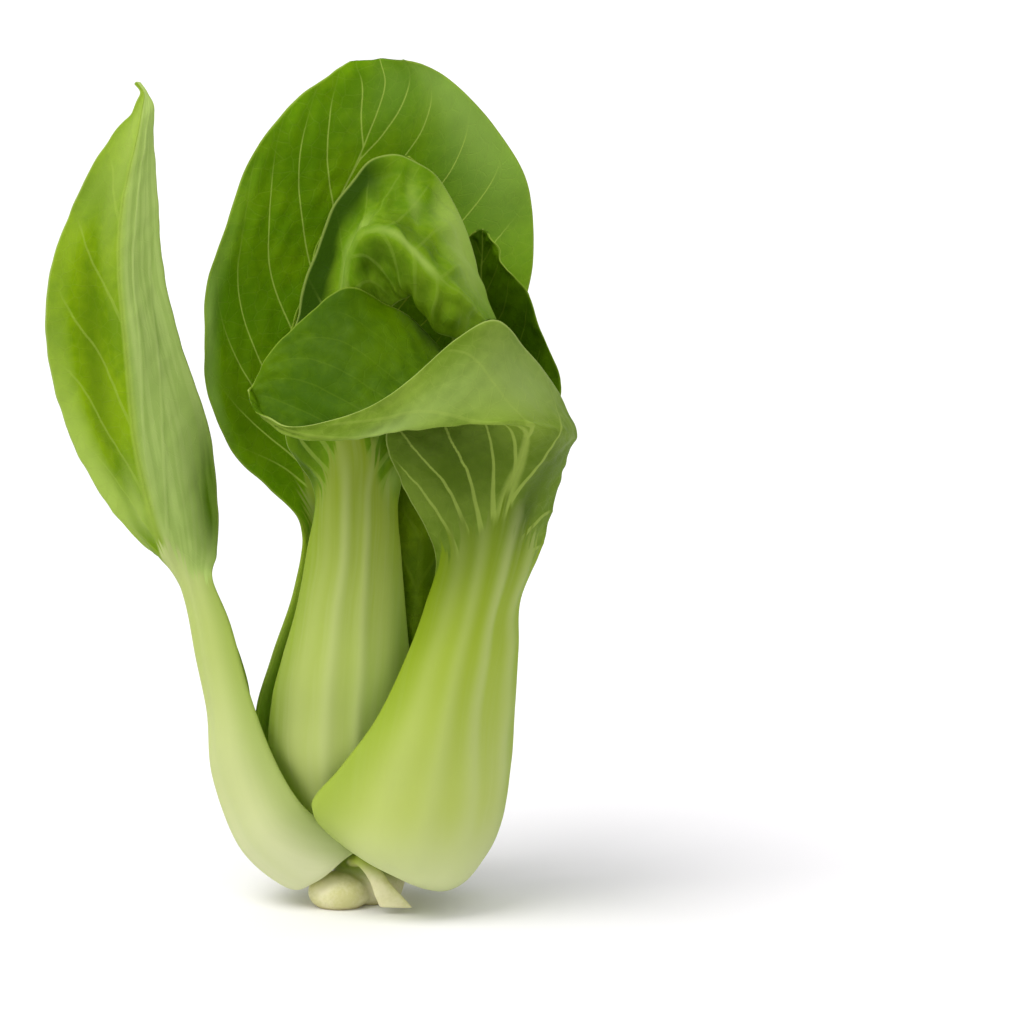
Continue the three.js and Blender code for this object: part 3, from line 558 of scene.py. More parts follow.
def side_veins(grid):
    """The count of the side veins, the mm from one to the next, and how wide, how clear
    and how raised they are."""
    growth, u, t = GROWTH[grid.name], grid.u, grid.t
    left, right = growth["veins"]
    count = np.where(
        u < 0,
        vein_count(left, np.abs(u), t, grid.name + "left"),
        vein_count(right, np.abs(u), t, grid.name + "right"),
    )
    # How fast the count rises over the bent surface gives the distance between two veins
    d_side, d_up = np.gradient(grid.middle, axis=1), np.gradient(grid.middle, axis=0)
    e, f, g = ((a * b).sum(axis=2) for a, b in ((d_side, d_side), (d_side, d_up), (d_up, d_up)))
    c_side, c_up = np.gradient(count, axis=1), np.gradient(count, axis=0)
    slope = np.sqrt(np.maximum(g * c_side**2 - 2 * f * c_side * c_up + e * c_up**2, 0))
    gap = np.clip(np.sqrt(np.maximum(e * g - f * f, 1e-9)) / np.maximum(slope, 1e-6), 0, VEIN_GAP_MOST)
    from_vein = np.abs((count + 0.5) % 1 - 0.5) * gap
    at_rib = growth["blade"][1]
    foot = 1 + VEIN_FOOT * (1 - smooth(t, at_rib - 1, at_rib + 1))
    taper = (1 - VEIN_THINNING * np.abs(u)) * foot
    clear = np.asarray(growth.get("clear", [(0, 1)]), float)
    clear = np.interp(t, clear[:, 0], clear[:, 1])
    stand_out = np.where(u < 0, *growth.get("relief", (1, 1))) * clear
    reach = VEIN_WIDTH * VEIN_SPREAD * taper
    ridge = np.exp(-((from_vein / reach) ** 2)) * taper * grid.blade * stand_out
    return SimpleNamespace(count=count, gap=gap, width=VEIN_WIDTH * taper, clear=clear, ridge=ridge)


def sagged(grid, count):
    """How far in mm each point of a leaf lies inside its middle surface."""
    leaf, growth, u, t = LEAVES[grid.name], GROWTH[grid.name], grid.u, grid.t
    across, upward, to_margin = grid.across, grid.upward, grid.to_margin

    # The waved margin
    wave_from, height, waves, phase = leaf["wave"]
    done = np.clip((t - wave_from) / (grid.last - wave_from), 0, 1)
    fade = np.minimum(1, 6 * done) * np.minimum(1, 6 * (1 - done))
    wave = height * u**4 * np.sin(math.tau * (waves * done + phase + WAVE_LAG * (u > 0))) * fade

    # The skin swells between the veins, crumples, and is uneven all over
    cell = np.sin(math.pi * count) ** 2 * smooth(np.abs(u), 0.03, 0.3) * smooth(to_margin, 0, 3)
    crumple_from, crumple = growth.get("crumple", (0, 0))
    crumpled = crumple * smooth(t, crumple_from, crumple_from + 1.5) * smooth(to_margin, 0, 4)
    uneven = growth["pucker"] * cell * grid.blade
    uneven += crumpled * (0.9 * cell + 0.45 * swell(across, upward, CRUMPLE_LENGTH, grid.name + "crumple"))
    height, length = SWELL
    uneven += height * swell(across, upward, length, grid.name) * smooth(to_margin, 0, 5)
    height, length = FINE_SWELL
    uneven += height * swell(across, upward, length, grid.name + "fine") * grid.blade

    # Pleats in the left half, and the belly of each half
    first, final, height, spacing = growth.get("pleats", (0, 1, 0, 1))
    sway, length = PLEAT_SWAY
    sway = sway * swell(across, upward, length, grid.name + "pleats")
    pleat = np.sin(math.tau * (across / spacing + sway))
    pleat *= smooth(t, first, first + 1) * (1 - smooth(t, final - 1, final))
    uneven += height * pleat * smooth(-u, 0.08, 0.3) * smooth(to_margin, 0, 4)
    belly = np.asarray(leaf.get("belly", [[0, 0, 0]]), float)
    left, right = (np.interp(t, belly[:, 0], belly[:, side]) for side in (1, 2))
    sag = np.where(u < 0, left, right) * BELLY * u * u * (1 - np.abs(u))
    return wave + sag + uneven


def stalk_ridges(grid):
    """Height in mm of the soft ridges down the outside of the stalk."""
    ridges = np.zeros_like(grid.u)
    for place, width, tall in GROWTH[grid.name]["ribs"]:
        ridges += tall * np.exp(-(((grid.u - place) / width) ** 2))
    return ridges * (grid.stalk * smooth(grid.t, 0.5, 3) * smooth(grid.to_margin, 0, 2))


def thickness(grid, ridges, vein_ridge):
    """How far in mm the outer and the inner face lie inside the middle surface."""
    flesh = np.asarray(LEAVES[grid.name]["flesh"], float)
    at_rib, at_edge, narrow, fold, proud = (np.interp(grid.t, flesh[:, 0], flesh[:, k]) for k in range(1, 6))
    edge = at_edge + (np.minimum(at_edge, BLADE_EDGE) - at_edge) * grid.blade
    rib = (at_rib - at_edge) * np.clip(1 - grid.u * grid.u, 0, 1) ** narrow
    into = np.clip(1 - grid.to_margin / np.maximum(edge * 0.5, 0.3), 0, 1)
    rounding = np.maximum(np.sqrt(1 - into**2), 0.3)
    outer = edge * 0.5 * (1 - rounding) - rib * proud - ridges - VEIN_RIDGE * vein_ridge
    inner = edge * 0.5 * (1 + rounding) + rib * (1 - proud) - VEIN_GROOVE * vein_ridge
    tight = np.clip(1 - fold, 0, 1)
    inner *= 1 - RIB_THINNED * grid.blade * tight * np.exp(-((grid.u / RIB_THINNED_REACH) ** 2))
    return outer, inner


def shade_sheen_and_tone(grid):
    """The dabs of painted shade and painted sheen of a leaf, partly its own deeper and paler green, added up.
    """
    tone = np.zeros_like(grid.u)
    for station, place, long, wide, strength in GROWTH[grid.name].get("tones", []):
        tone += strength * np.exp(-(((grid.t - station) / long) ** 2) - ((grid.u - place) / wide) ** 2)
    return np.clip(tone, -1, 1)


def grown_surface(name, crosswise, per_station):
    """Both faces of a leaf as grids of points in mm, what its skin needs to know, and
    its flat layout."""
    grid = leaf_grid(name, crosswise, per_station)
    veins = side_veins(grid)
    ridges = stalk_ridges(grid)
    body = grid.middle + grid.inward * sagged(grid, veins.count)[:, :, None]
    outside, inside = (body + grid.inward * d[:, :, None] for d in thickness(grid, ridges, veins.ridge))
    at_rib = GROWTH[name]["blade"][1]
    facts = {
        "across": grid.u,
        "blade": grid.blade,
        "rib_near": np.abs(grid.across) / np.interp(grid.t, [0, at_rib, at_rib + 2, grid.last], RIB_REACH),
        "vein_count": veins.count,
        "vein_gap": veins.gap,
        "vein_width": veins.width,
        "vein_clear": veins.clear,
        "ridge": np.clip(ridges / RIB_TALLEST, 0, 1),
        "to_margin": grid.to_margin,
        # painted shade and painted sheen, partly the leaf's own deeper and paler green
        "tone": shade_sheen_and_tone(grid),
    }
    return outside, inside, facts, np.stack([grid.across, grid.upward], axis=2)


def deselect():
    """Leaves nothing selected."""
    bpy.ops.object.select_all(action="DESELECT")


def edit_all():
    """Goes into edit mode with the whole mesh selected."""
    bpy.ops.object.mode_set(mode="EDIT")
    bpy.ops.mesh.select_all(action="SELECT")


def turn_faces_out():
    """Turns every face of the mesh outwards, and leaves edit mode."""
    edit_all()
    bpy.ops.mesh.normals_make_consistent(inside=False)
    bpy.ops.object.mode_set(mode="OBJECT")


def leaf_slab(crosswise, rows):
    """A flat grid, drawn out upwards into a closed slab."""
    deselect()
    bpy.ops.mesh.primitive_grid_add(x_subdivisions=crosswise, y_subdivisions=rows, size=2)
    edit_all()
    bpy.ops.mesh.extrude_region_move(TRANSFORM_OT_translate={"value": (0, 0, 1)})
    bpy.ops.object.mode_set(mode="OBJECT")
    return bpy.context.active_object


def grow_leaf(name, crosswise, per_station):
    """Bends a slab into a leaf, and gives it the facts that its skin reads."""
    outside, inside, facts, layout = grown_surface(name, crosswise, per_station)
    rows = outside.shape[0] - 1
    leaf = leaf_slab(crosswise, rows)
    mesh = leaf.data
    flat = np.empty(len(mesh.vertices) * 3)
    mesh.vertices.foreach_get("co", flat)
    flat = flat.reshape(-1, 3)
    column = np.rint((flat[:, 0] + 1) / 2 * crosswise).astype(int)
    row = np.rint((flat[:, 1] + 1) / 2 * rows).astype(int)
    outer = flat[:, 2] > 0.5

    centre = np.empty(len(mesh.polygons) * 3)
    mesh.polygons.foreach_get("center", centre)
    front = centre.reshape(-1, 3)[:, 2] < 0.25
    for skin in GROWTH[name]["skins"]:
        mesh.materials.append(SKINS[skin])
    mesh.polygons.foreach_set("material_index", front.astype(np.int32))
    mesh.polygons.foreach_set("use_smooth", np.ones(len(mesh.polygons), bool))

    place = np.where(outer[:, None], outside[row, column], inside[row, column]) * MM
    mesh.vertices.foreach_set("co", place.astype(np.float32).ravel())
    for fact_name, values in facts.items():
        layer = mesh.attributes.new(fact_name, "FLOAT", "POINT")
        layer.data.foreach_set("value", values[row, column].astype(np.float32))
    corner = np.empty(len(mesh.loops), np.int32)
    mesh.loops.foreach_get("vertex_index", corner)
    layout = layout[row, column] / LAYOUT_UNIT
    mesh.uv_layers[0].name = "flat"
    mesh.uv_layers[0].data.foreach_set("uv", layout[corner].astype(np.float32).ravel())
    mesh.update()

    leaf.name = name + "_grown"
    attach(leaf, "root")
    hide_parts(name)
    return leaf


# ---------------------------------------------------------------- materials
FINE_RELIEF = 0.0003  # m, height of the strings, the net and the grain


def srgb(red, green, blue):
    """A colour given from 0 to 255, as the linear colour that shaders take."""
    parts = [c / 255 for c in (red, green, blue)]
    return tuple(c / 12.92 if c < 0.04045 else ((c + 0.055) / 1.055) ** 2.4 for c in parts) + (1,)


def node(tree, kind, inputs=(), **settings):
    """A shader node with its settings and inputs, each a value or another node's socket."""
    made = tree.nodes.new("ShaderNode" + kind)
    for key, value in settings.items():
        setattr(made, key, value)
    for key, value in dict(inputs).items():
        if isinstance(value, bpy.types.NodeSocket):
            tree.links.new(value, made.inputs[key])
        else:
            made.inputs[key].default_value = value
    return made


def maths(tree, operation, a, b=0.0):
    """The result of a sum with one or two numbers."""
    return node(tree, "Math", {0: a, 1: b}, operation=operation).outputs[0]


def times(tree, a, b):
    """One number times another."""
    return maths(tree, "MULTIPLY", a, b)


def vectors(tree, operation, inputs, output=0):
    """The result of a sum with places or directions."""
    return node(tree, "VectorMath", inputs, operation=operation).outputs[output]


def noise(tree, place, scale, detail, output="Fac", **more):
    """Soft random noise, as a number or as a colour."""
    return node(tree, "TexNoise", {"Vector": place, "Scale": scale, "Detail": detail, **more}).outputs[output]


def object_place(tree):
    """Where a point of the piece lies, in metres."""
    return node(tree, "TexCoord").outputs["Object"]


def part_of(tree, vector, axis):
    """One of the three numbers of a place."""
    return node(tree, "SeparateXYZ", {0: vector}).outputs[axis]


def bumped(tree, relief):
    """The normal of a surface with a fine relief on it."""
    return node(tree, "Bump", {"Height": relief, "Strength": 0.3, "Distance": FINE_RELIEF}).outputs["Normal"]


def step(tree, value, low, high, at_low=0.0, at_high=1.0):
    """A soft step of value from low to high."""
    inputs = {"Value": value, "From Min": low, "From Max": high, "To Min": at_low, "To Max": at_high}
    return node(tree, "MapRange", inputs, interpolation_type="SMOOTHSTEP").outputs["Result"]


def blend(tree, share, a, b):
    """Colour a, going to b as share goes from 0 to 1."""
    return node(tree, "Mix", {0: share, 6: a, 7: b}, data_type="RGBA").outputs[2]


def fact(tree, name):
    """One of the facts that grow_leaf writes on a leaf's mesh."""
    return node(tree, "Attribute", attribute_name=name).outputs["Fac"]


def group(name, inputs, outputs):
    """An empty node group with number or colour sockets, its inputs and its output node."""
    tree = bpy.data.node_groups.new(name, "ShaderNodeTree")
    for socket, value in inputs.items():
        kind = "NodeSocketColor" if isinstance(value, tuple) else "NodeSocketFloat"
        made = tree.interface.new_socket(name=socket, in_out="INPUT", socket_type=kind)
        made.default_value = value
    for socket, kind in outputs.items():
        tree.interface.new_socket(name=socket, in_out="OUTPUT", socket_type=kind)
    return tree, tree.nodes.new("NodeGroupInput").outputs, tree.nodes.new("NodeGroupOutput").inputs


def use(tree, made_group, **inputs):
    """Places a node group in a material, with its own values. A space in the name of
    an input is given as an underscore."""
    placed = tree.nodes.new("ShaderNodeGroup")
    placed.node_tree = made_group
    for key, value in inputs.items():
        key = key.replace("_", " ")
        if isinstance(value, bpy.types.NodeSocket):
            tree.links.new(value, placed.inputs[key])
        else:
            placed.inputs[key].default_value = value
    return placed.outputs


def vein_lines_group():
    """Thin lines along the side veins and down the rib, tapering towards the margin."""
    tree, given, out = group(
        "vein lines",
        {"Width": 1.0, "Softness": 0.3, "Fade": 6.0, "Rib Width": 1.0},
        {"Veins": "NodeSocketFloat", "Rib": "NodeSocketFloat"},
    )
    beside = maths(tree, "FRACT", maths(tree, "ADD", fact(tree, "vein_count"), 0.5))
    beside = maths(tree, "ABSOLUTE", maths(tree, "SUBTRACT", beside, 0.5))
    distance = times(tree, beside, fact(tree, "vein_gap"))
    reach = times(tree, times(tree, given["Width"], 0.35), fact(tree, "vein_width"))
    veins = step(tree, distance, reach, maths(tree, "ADD", reach, given["Softness"]), 1.0, 0.0)
    outward = step(tree, fact(tree, "to_margin"), times(tree, given["Fade"], 0.4), given["Fade"], 0.1, 1.0)
    clear = fact(tree, "vein_clear")
    rib = maths(tree, "DIVIDE", fact(tree, "rib_near"), given["Rib Width"])
    rib = step(tree, rib, 0.35, 1.1, 1.0, 0.0)
    tree.links.new(times(tree, times(tree, veins, clear), outward), out["Veins"])
    tree.links.new(times(tree, rib, clear), out["Rib"])
    return tree


def fine_net_group():
    """The fine net of small veins between the side veins."""
    tree, given, out = group("fine net", {"Cell": 3.0, "Line": 0.06}, {"Net": "NodeSocketFloat"})
    layout = node(tree, "UVMap", uv_map="flat").outputs["UV"]
    push = vectors(tree, "SCALE", {0: noise(tree, layout, 14.0, 2.0, "Color"), 3: 0.02})
    place = vectors(tree, "ADD", {0: layout, 1: push})
    scale = maths(tree, "DIVIDE", LAYOUT_UNIT, given["Cell"])
    settings = {"voronoi_dimensions": "2D", "feature": "DISTANCE_TO_EDGE"}
    lines = []
    for size in (scale, times(tree, scale, 2.6)):
        cells = node(tree, "TexVoronoi", {"Vector": place, "Scale": size}, **settings)
        lines.append(step(tree, cells.outputs["Distance"], 0.0, given["Line"], 1.0, 0.0))
    tree.links.new(maths(tree, "MAXIMUM", lines[0], times(tree, lines[1], 0.45)), out["Net"])
    return tree


def patches_group():
    """Soft patches of two greens, and a number that follows them."""
    tree, given, out = group(
        "patches",
        {"Deep": (0, 0, 0, 1), "Fresh": (0, 0, 0, 1), "Scale": 60.0},
        {"Colour": "NodeSocketColor", "Patch": "NodeSocketFloat"},
    )
    place = object_place(tree)
    large = noise(tree, place, given["Scale"], 3.0)
    small = noise(tree, place, times(tree, given["Scale"], 9.0), 3.0)
    patch = step(tree, maths(tree, "ADD", times(tree, large, 0.75), times(tree, small, 0.25)), 0.36, 0.64)
    tree.links.new(blend(tree, patch, given["Deep"], given["Fresh"]), out["Colour"])
    tree.links.new(patch, out["Patch"])
    return tree


def fibres_group():
    """Fine strings that run the length of a stalk, and strands that fan out at its top."""
    tree, given, out = group(
        "stalk fibres",
        {"Across": 90.0, "Along": 3.0, "Strands": 12.0},
        {"Fibre": "NodeSocketFloat", "Strand": "NodeSocketFloat"},
    )
    layout = node(tree, "UVMap", uv_map="flat").outputs["UV"]
    stretch = node(tree, "CombineXYZ", {0: given["Across"], 1: given["Along"]}).outputs[0]
    strings = noise(tree, vectors(tree, "MULTIPLY", {0: layout, 1: stretch}), 1.0, 3.0, Roughness=0.55)
    tree.links.new(step(tree, strings, 0.35, 0.7), out["Fibre"])
    spread = times(tree, fact(tree, "across"), given["Strands"])
    run = times(tree, part_of(tree, layout, "Y"), 4.0)
    strands = noise(tree, node(tree, "CombineXYZ", {0: spread, 1: run}).outputs[0], 1.0, 1.0)
    tree.links.new(step(tree, strands, 0.4, 0.6), out["Strand"])
    return tree


VEIN_LINES = vein_lines_group()
FINE_NET = fine_net_group()
PATCHES = patches_group()
FIBRES = fibres_group()

STRING_PALE = srgb(214, 224, 158)  # the ridges and strings of a stalk
STALK_EDGE = srgb(146, 176, 14)  # towards its margins, where it is thin and shaded: partly its own green, partly painted shade
# m above the cut face, where each colour of a stalk gives way to the next
STALK_CHANGES = ((0.004, 0.03), (0.02, 0.07), (0.06, 0.105))

# The right half of the upright left leaf is turned to the light: painted light makes it paler
WING_EDGE = (-0.02, 0.12)  # across the leaf, where the pale half begins
PAINTED_LIT_WING = srgb(208, 230, 136)
PAINTED_LIT_WING_VEIN = srgb(218, 236, 150)
WING_STREAK = srgb(160, 192, 84)
# Lines of the veins, which are broad on the back and thin on the front
BACK_LINES = {"Width": 0.9, "Softness": 0.26, "Rib_Width": 0.9}
FRONT_LINES = {"Width": 0.32, "Softness": 0.16, "Rib_Width": 0.45}

# What a face of a leaf is made up of, where its own look says nothing else
PLAIN_LOOK = {
    "dark": srgb(60, 92, 2),  # the two colours that the dabs go to: painted shade and painted sheen, partly the leaf's own deeper and paler green
    "light": srgb(176, 204, 96),
    "rim": srgb(158, 186, 66),  # the thin edge all round the blade
    "vein_show": 0.5,  # how clearly the side veins show, then the fine net and the rib
    "net_show": 0.1,
    "rib_show": 0.85,
    "vein_fade": 6.0,  # mm from the margin where the side veins start to go
    "gloss": 0.48,  # roughness
    "glow": 0.25,  # share of the light that comes through the leaf
    "raised": -1,  # 1 on the back, where veins stand out, -1 on the front
    "wing": 0.0,  # how much paler the right half is painted, as painted light
    # flesh of the stalk, from its foot to where the blade starts
    "stalk": (srgb(222, 228, 184), srgb(200, 213, 128), srgb(172, 194, 78), srgb(146, 172, 44)),
    "strings": 0.16,  # how clearly the strings of the stalk show
}


def with_shade_sheen_tone(tree, colour, look):
    """The colour with the leaf's dabs of painted shade and painted sheen on it, partly its own deeper and
    paler green.
    """
    tone = fact(tree, "tone")
    paler = blend(tree, maths(tree, "MAXIMUM", tone, 0.0), colour, look["light"])
    return blend(tree, maths(tree, "MAXIMUM", times(tree, tone, -1.0), 0.0), paler, look["dark"])


def blade_colour(tree, look, greens, vein, wing, net, strand):
    """Two greens in patches, the right half painted paler as painted light, the dabs of painted shade and
    painted sheen, the net, the veins and the rim.
    """
    lines = BACK_LINES if look["raised"] > 0 else FRONT_LINES
    lines = use(tree, VEIN_LINES, Fade=look["vein_fade"], **lines)
    # Painted light: the right half and its veins are painted paler, then the dabs of painted shade and
    # painted sheen go on
    vein = blend(tree, wing, vein, PAINTED_LIT_WING_VEIN)
    ground = with_shade_sheen_tone(tree, blend(tree, wing, greens, PAINTED_LIT_WING), look)
    ground = blend(tree, times(tree, times(tree, strand, wing), 0.35), ground, WING_STREAK)
    in_light = step(tree, fact(tree, "tone"), -0.8, 0.0, 0.0, look["net_show"])
    ground = blend(tree, times(tree, net, in_light), ground, vein)
    veined = times(tree, lines["Veins"], look["vein_show"])
    veined = maths(tree, "MAXIMUM", veined, times(tree, lines["Rib"], look["rib_show"]))
    edge = step(tree, fact(tree, "to_margin"), 0.1, 0.6, 0.7, 0.0)
    return blend(tree, edge, blend(tree, veined, ground, vein), look["rim"])


def stalk_colour(tree, look, fibre):
    """Pale flesh, greener upwards and towards the margins, where painted shade also darkens it, with paler
    ridges and strings and the leaf's dabs of painted shade and painted sheen.
    """
    height = part_of(tree, object_place(tree), "Z")
    flesh, *higher = look["stalk"]
    for (low, high), colour in zip(STALK_CHANGES, higher):
        flesh = blend(tree, step(tree, height, low, high), flesh, colour)
    pale = maths(tree, "MAXIMUM", times(tree, fact(tree, "ridge"), 0.45), times(tree, fibre, look["strings"]))
    flesh = blend(tree, pale, with_shade_sheen_tone(tree, flesh, look), STRING_PALE)
    # Painted shade on the thin margins, partly their own green
    margin_green_and_shade = step(tree, maths(tree, "ABSOLUTE", fact(tree, "across")), 0.6, 1.0, 0.0, 0.5)
    return blend(tree, margin_green_and_shade, flesh, STALK_EDGE)


def new_material(name):
    """A material with an empty node tree."""
    material = bpy.data.materials.new(name)
    material.use_nodes = True
    material.node_tree.nodes.clear()
    return material


def show(tree, surface):
    """Makes a shader node the surface of the material."""
    output = tree.nodes.new("ShaderNodeOutputMaterial")
    tree.links.new(surface.outputs[0], output.inputs["Surface"])


def leaf_skin(name, deep, fresh, vein, **own):
    """One face of a leaf, stalk and blade in one: its two greens, the colour of its
    veins, and whatever its own look has that the plain one hasn't."""
    look = {**PLAIN_LOOK, **own}
    material = new_material(name)
    tree = material.node_tree
    blade = fact(tree, "blade")
    patches = use(tree, PATCHES, Deep=deep, Fresh=fresh, Scale=55.0)
    fibres = use(tree, FIBRES, Across=38.0, Along=1.3, Strands=12.0)
    # Painted light: how far the right half, turned to the light, is painted paler
    wing = times(tree, step(tree, fact(tree, "across"), *WING_EDGE), look["wing"])
    net = times(tree, use(tree, FINE_NET, Cell=3.4, Line=0.06)["Net"], blade)
    net = times(tree, net, maths(tree, "SUBTRACT", 1.0, times(tree, wing, 0.7)))
    green = blade_colour(tree, look, patches["Colour"], vein, wing, net, fibres["Strand"])
    flesh = stalk_colour(tree, look, fibres["Fibre"])

    # The strands of the stalk run on a little way into the blade
    late = times(tree, fibres["Strand"], 0.6)
    leafy = step(tree, blade, late, maths(tree, "ADD", late, 0.4))
    colour = blend(tree, leafy, flesh, green)
    roughness = step(tree, patches["Patch"], 0.0, 1.0, look["gloss"] + 0.05, look["gloss"] - 0.04)
    on_stalk = maths(tree, "SUBTRACT", 0.25, times(tree, blade, 0.25))
    relief = times(tree, net, 0.5 * look["raised"])
    relief = maths(tree, "ADD", relief, times(tree, fibres["Fibre"], on_stalk))
    bump = bumped(tree, relief)
    surface = node(
        tree,
        "BsdfPrincipled",
        {"Base Color": colour, "Roughness": roughness, "Normal": bump, "Specular IOR Level": 0.06},
    )
    through = node(tree, "BsdfTranslucent", {"Color": colour, "Normal": bump})
    show(tree, node(tree, "MixShader", {0: look["glow"], 1: surface.outputs[0], 2: through.outputs[0]}))
    return material


LEAF_SKINS = (
    # back of the upright left leaf, thin and bright, on a very pale stalk
    leaf_skin(
        "bright_back", srgb(118, 156, 0), srgb(148, 182, 10), srgb(184, 208, 90),
        dark=srgb(84, 120, 0), light=srgb(192, 216, 104), rim=srgb(190, 212, 110),
        vein_show=0.35, net_show=0.1, rib_show=0.6, glow=0.4, raised=1, wing=0.95,
        stalk=(srgb(242, 244, 206), srgb(232, 238, 176), srgb(206, 220, 128), srgb(216, 226, 156)),
    ),
    leaf_skin(
        "bright_front", srgb(98, 146, 4), srgb(132, 172, 16), srgb(178, 200, 80), vein_show=0.6, glow=0.4,
    ),
    # back of the folded right leaf, duller, with clear pale veins
    leaf_skin(
        "folded_back", srgb(112, 142, 34), srgb(140, 168, 58), srgb(178, 200, 92),
        dark=srgb(70, 94, 14), light=srgb(164, 188, 106), rim=srgb(186, 206, 112),
        vein_show=0.6, net_show=0.12, rib_show=0.55, vein_fade=3.0, glow=0.3, raised=1,
        stalk=(srgb(226, 232, 180), srgb(200, 214, 112), srgb(172, 194, 58), srgb(114, 142, 0)),
        strings=0.1,
    ),
    leaf_skin(
        "folded_front", srgb(66, 102, 0), srgb(92, 128, 0), srgb(130, 160, 40),
        rim=srgb(150, 178, 60), vein_show=0.4, net_show=0.05, vein_fade=8.0,
    ),
    # back of the hooded leaf
    leaf_skin(
        "hood_back", srgb(104, 148, 8), srgb(136, 174, 28), srgb(176, 202, 88),
        dark=srgb(52, 84, 0), light=srgb(188, 216, 104), rim=srgb(176, 200, 96),
        vein_show=0.4, net_show=0.07, rib_show=0.5, glow=0.35, raised=1, strings=0.24,
        stalk=(srgb(226, 232, 184), srgb(206, 220, 128), srgb(188, 206, 98), srgb(154, 176, 38)),
    ),
    leaf_skin(
        "fresh_back", srgb(116, 158, 14), srgb(148, 184, 36), srgb(180, 204, 90), glow=0.35, raised=1,
    ),
    leaf_skin(
        "dull_back", srgb(72, 104, 8), srgb(96, 128, 22), srgb(138, 166, 64), net_show=0.14, raised=1,
    ),
    leaf_skin(
        "inner_back", srgb(88, 118, 2), srgb(114, 144, 6), srgb(132, 160, 40),
        rim=srgb(96, 124, 24), vein_show=0.2, rib_show=0.2, net_show=0.06, raised=1,
    ),
    # upper face of the tall leaf, broad and saturated, with thin pale veins
    leaf_skin(
        "tall_front", srgb(100, 148, 0), srgb(124, 168, 4), srgb(188, 216, 92),
        light=srgb(154, 190, 84), vein_show=0.85, net_show=0.08, rib_show=0.85, vein_fade=10.0,
    ),
    leaf_skin(
        "deep_front", srgb(82, 126, 0), srgb(112, 152, 4), srgb(166, 190, 60), vein_show=0.6,
    ),
    leaf_skin(
        "shaded_front", srgb(68, 104, 4), srgb(90, 128, 6), srgb(136, 164, 52),
        rim=srgb(120, 150, 40), vein_show=0.4, net_show=0.06,
    ),
)
SKINS = {skin.name: skin for skin in LEAF_SKINS}


# ---------------------------------------------------------------- the cut stem
BUTT = {
    "centre": (1, 1),
    # radius and height, from the cut face up between the leaf bases
    "profile": [(6.6, 0), (7.6, 1.4), (8.4, 4), (8.6, 8), (8, 12), (5.6, 15.5), (3.4, 18.5), (1.6, 20)],
    "lobe": ((-5.8, -5.6, 3.4), (7.4, 6.8, 4.9)),  # the rounded knob at the front: centre and radii
    # stub of an old outer leaf, a tongue that widens as it droops to the right:
    # left edge, right edge and thickness from its root to its cut end
    "stub": [
        [(-4.5, -5, 10), (1.5, -5, 12), 4],
        [(-2.8, -10.6, 11.6), (1.4, -10.6, 12.6), 2.8],
        [(-0.3, -12.6, 10.2), (4.2, -12.6, 10.2), 2.4],
        [(1.7, -13.6, 7.2), (6.8, -13.6, 6.9), 2.2],
        [(2.7, -14.2, 4.3), (9.6, -14.2, 4.0), 2],
        [(3.8, -14.6, 1.7), (12, -14.6, 1.4), 1.2],
    ],
    "sides": 72,
    "stub_sides": 32,
    "stub_rings": 24,
    "voxel": 0.34,  # mm, for growing the three together
}


def butt_skin():
    """The cut stem: cream flesh, greener higher up, painted shade in the cleft by the leaf bases, and a dry
    cut face below.
    """
    material = new_material("butt_skin")
    tree = material.node_tree
    place = object_place(tree)
    height = part_of(tree, place, "Z")
    patches = use(tree, PATCHES, Deep=srgb(206, 203, 142), Fresh=srgb(226, 222, 178), Scale=160.0)
    cream = blend(tree, step(tree, height, 0.007, 0.013), patches["Colour"], srgb(150, 165, 50))
    # Painted shade: the core is painted dark green high in the cleft between the knob, the stub and the leaf
    # bases, partly its own green
    cx, cy = BUTT["centre"]
    aside = vectors(tree, "SUBTRACT", {0: place, 1: (cx * MM, cy * MM, 0)})
    reach = vectors(tree, "LENGTH", {0: vectors(tree, "MULTIPLY", {0: aside, 1: (1, 1, 0)})}, "Value")
    cleft_shade = step(tree, reach, 0.0086, 0.0104, 0.9, 0.0)
    cleft_shade = times(tree, cleft_shade, step(tree, height, 0.004, 0.010))
    cream = blend(tree, cleft_shade, cream, srgb(112, 136, 4))
    cut = blend(tree, step(tree, height, 0.0, 0.0012), srgb(198, 190, 138), cream)
    surface = node(
        tree,
        "BsdfPrincipled",
        {
            "Base Color": cut,
            "Roughness": step(tree, patches["Patch"], 0.0, 1.0, 0.62, 0.5),
            "Normal": bumped(tree, noise(tree, place, 900.0, 4.0)),
            "Specular IOR Level": 0.35,
            "Subsurface Weight": 0.15,
            "Subsurface Radius": (0.6, 0.8, 0.3),
            "Subsurface Scale": 0.003,
        },
    )
    show(tree, surface)
    return material


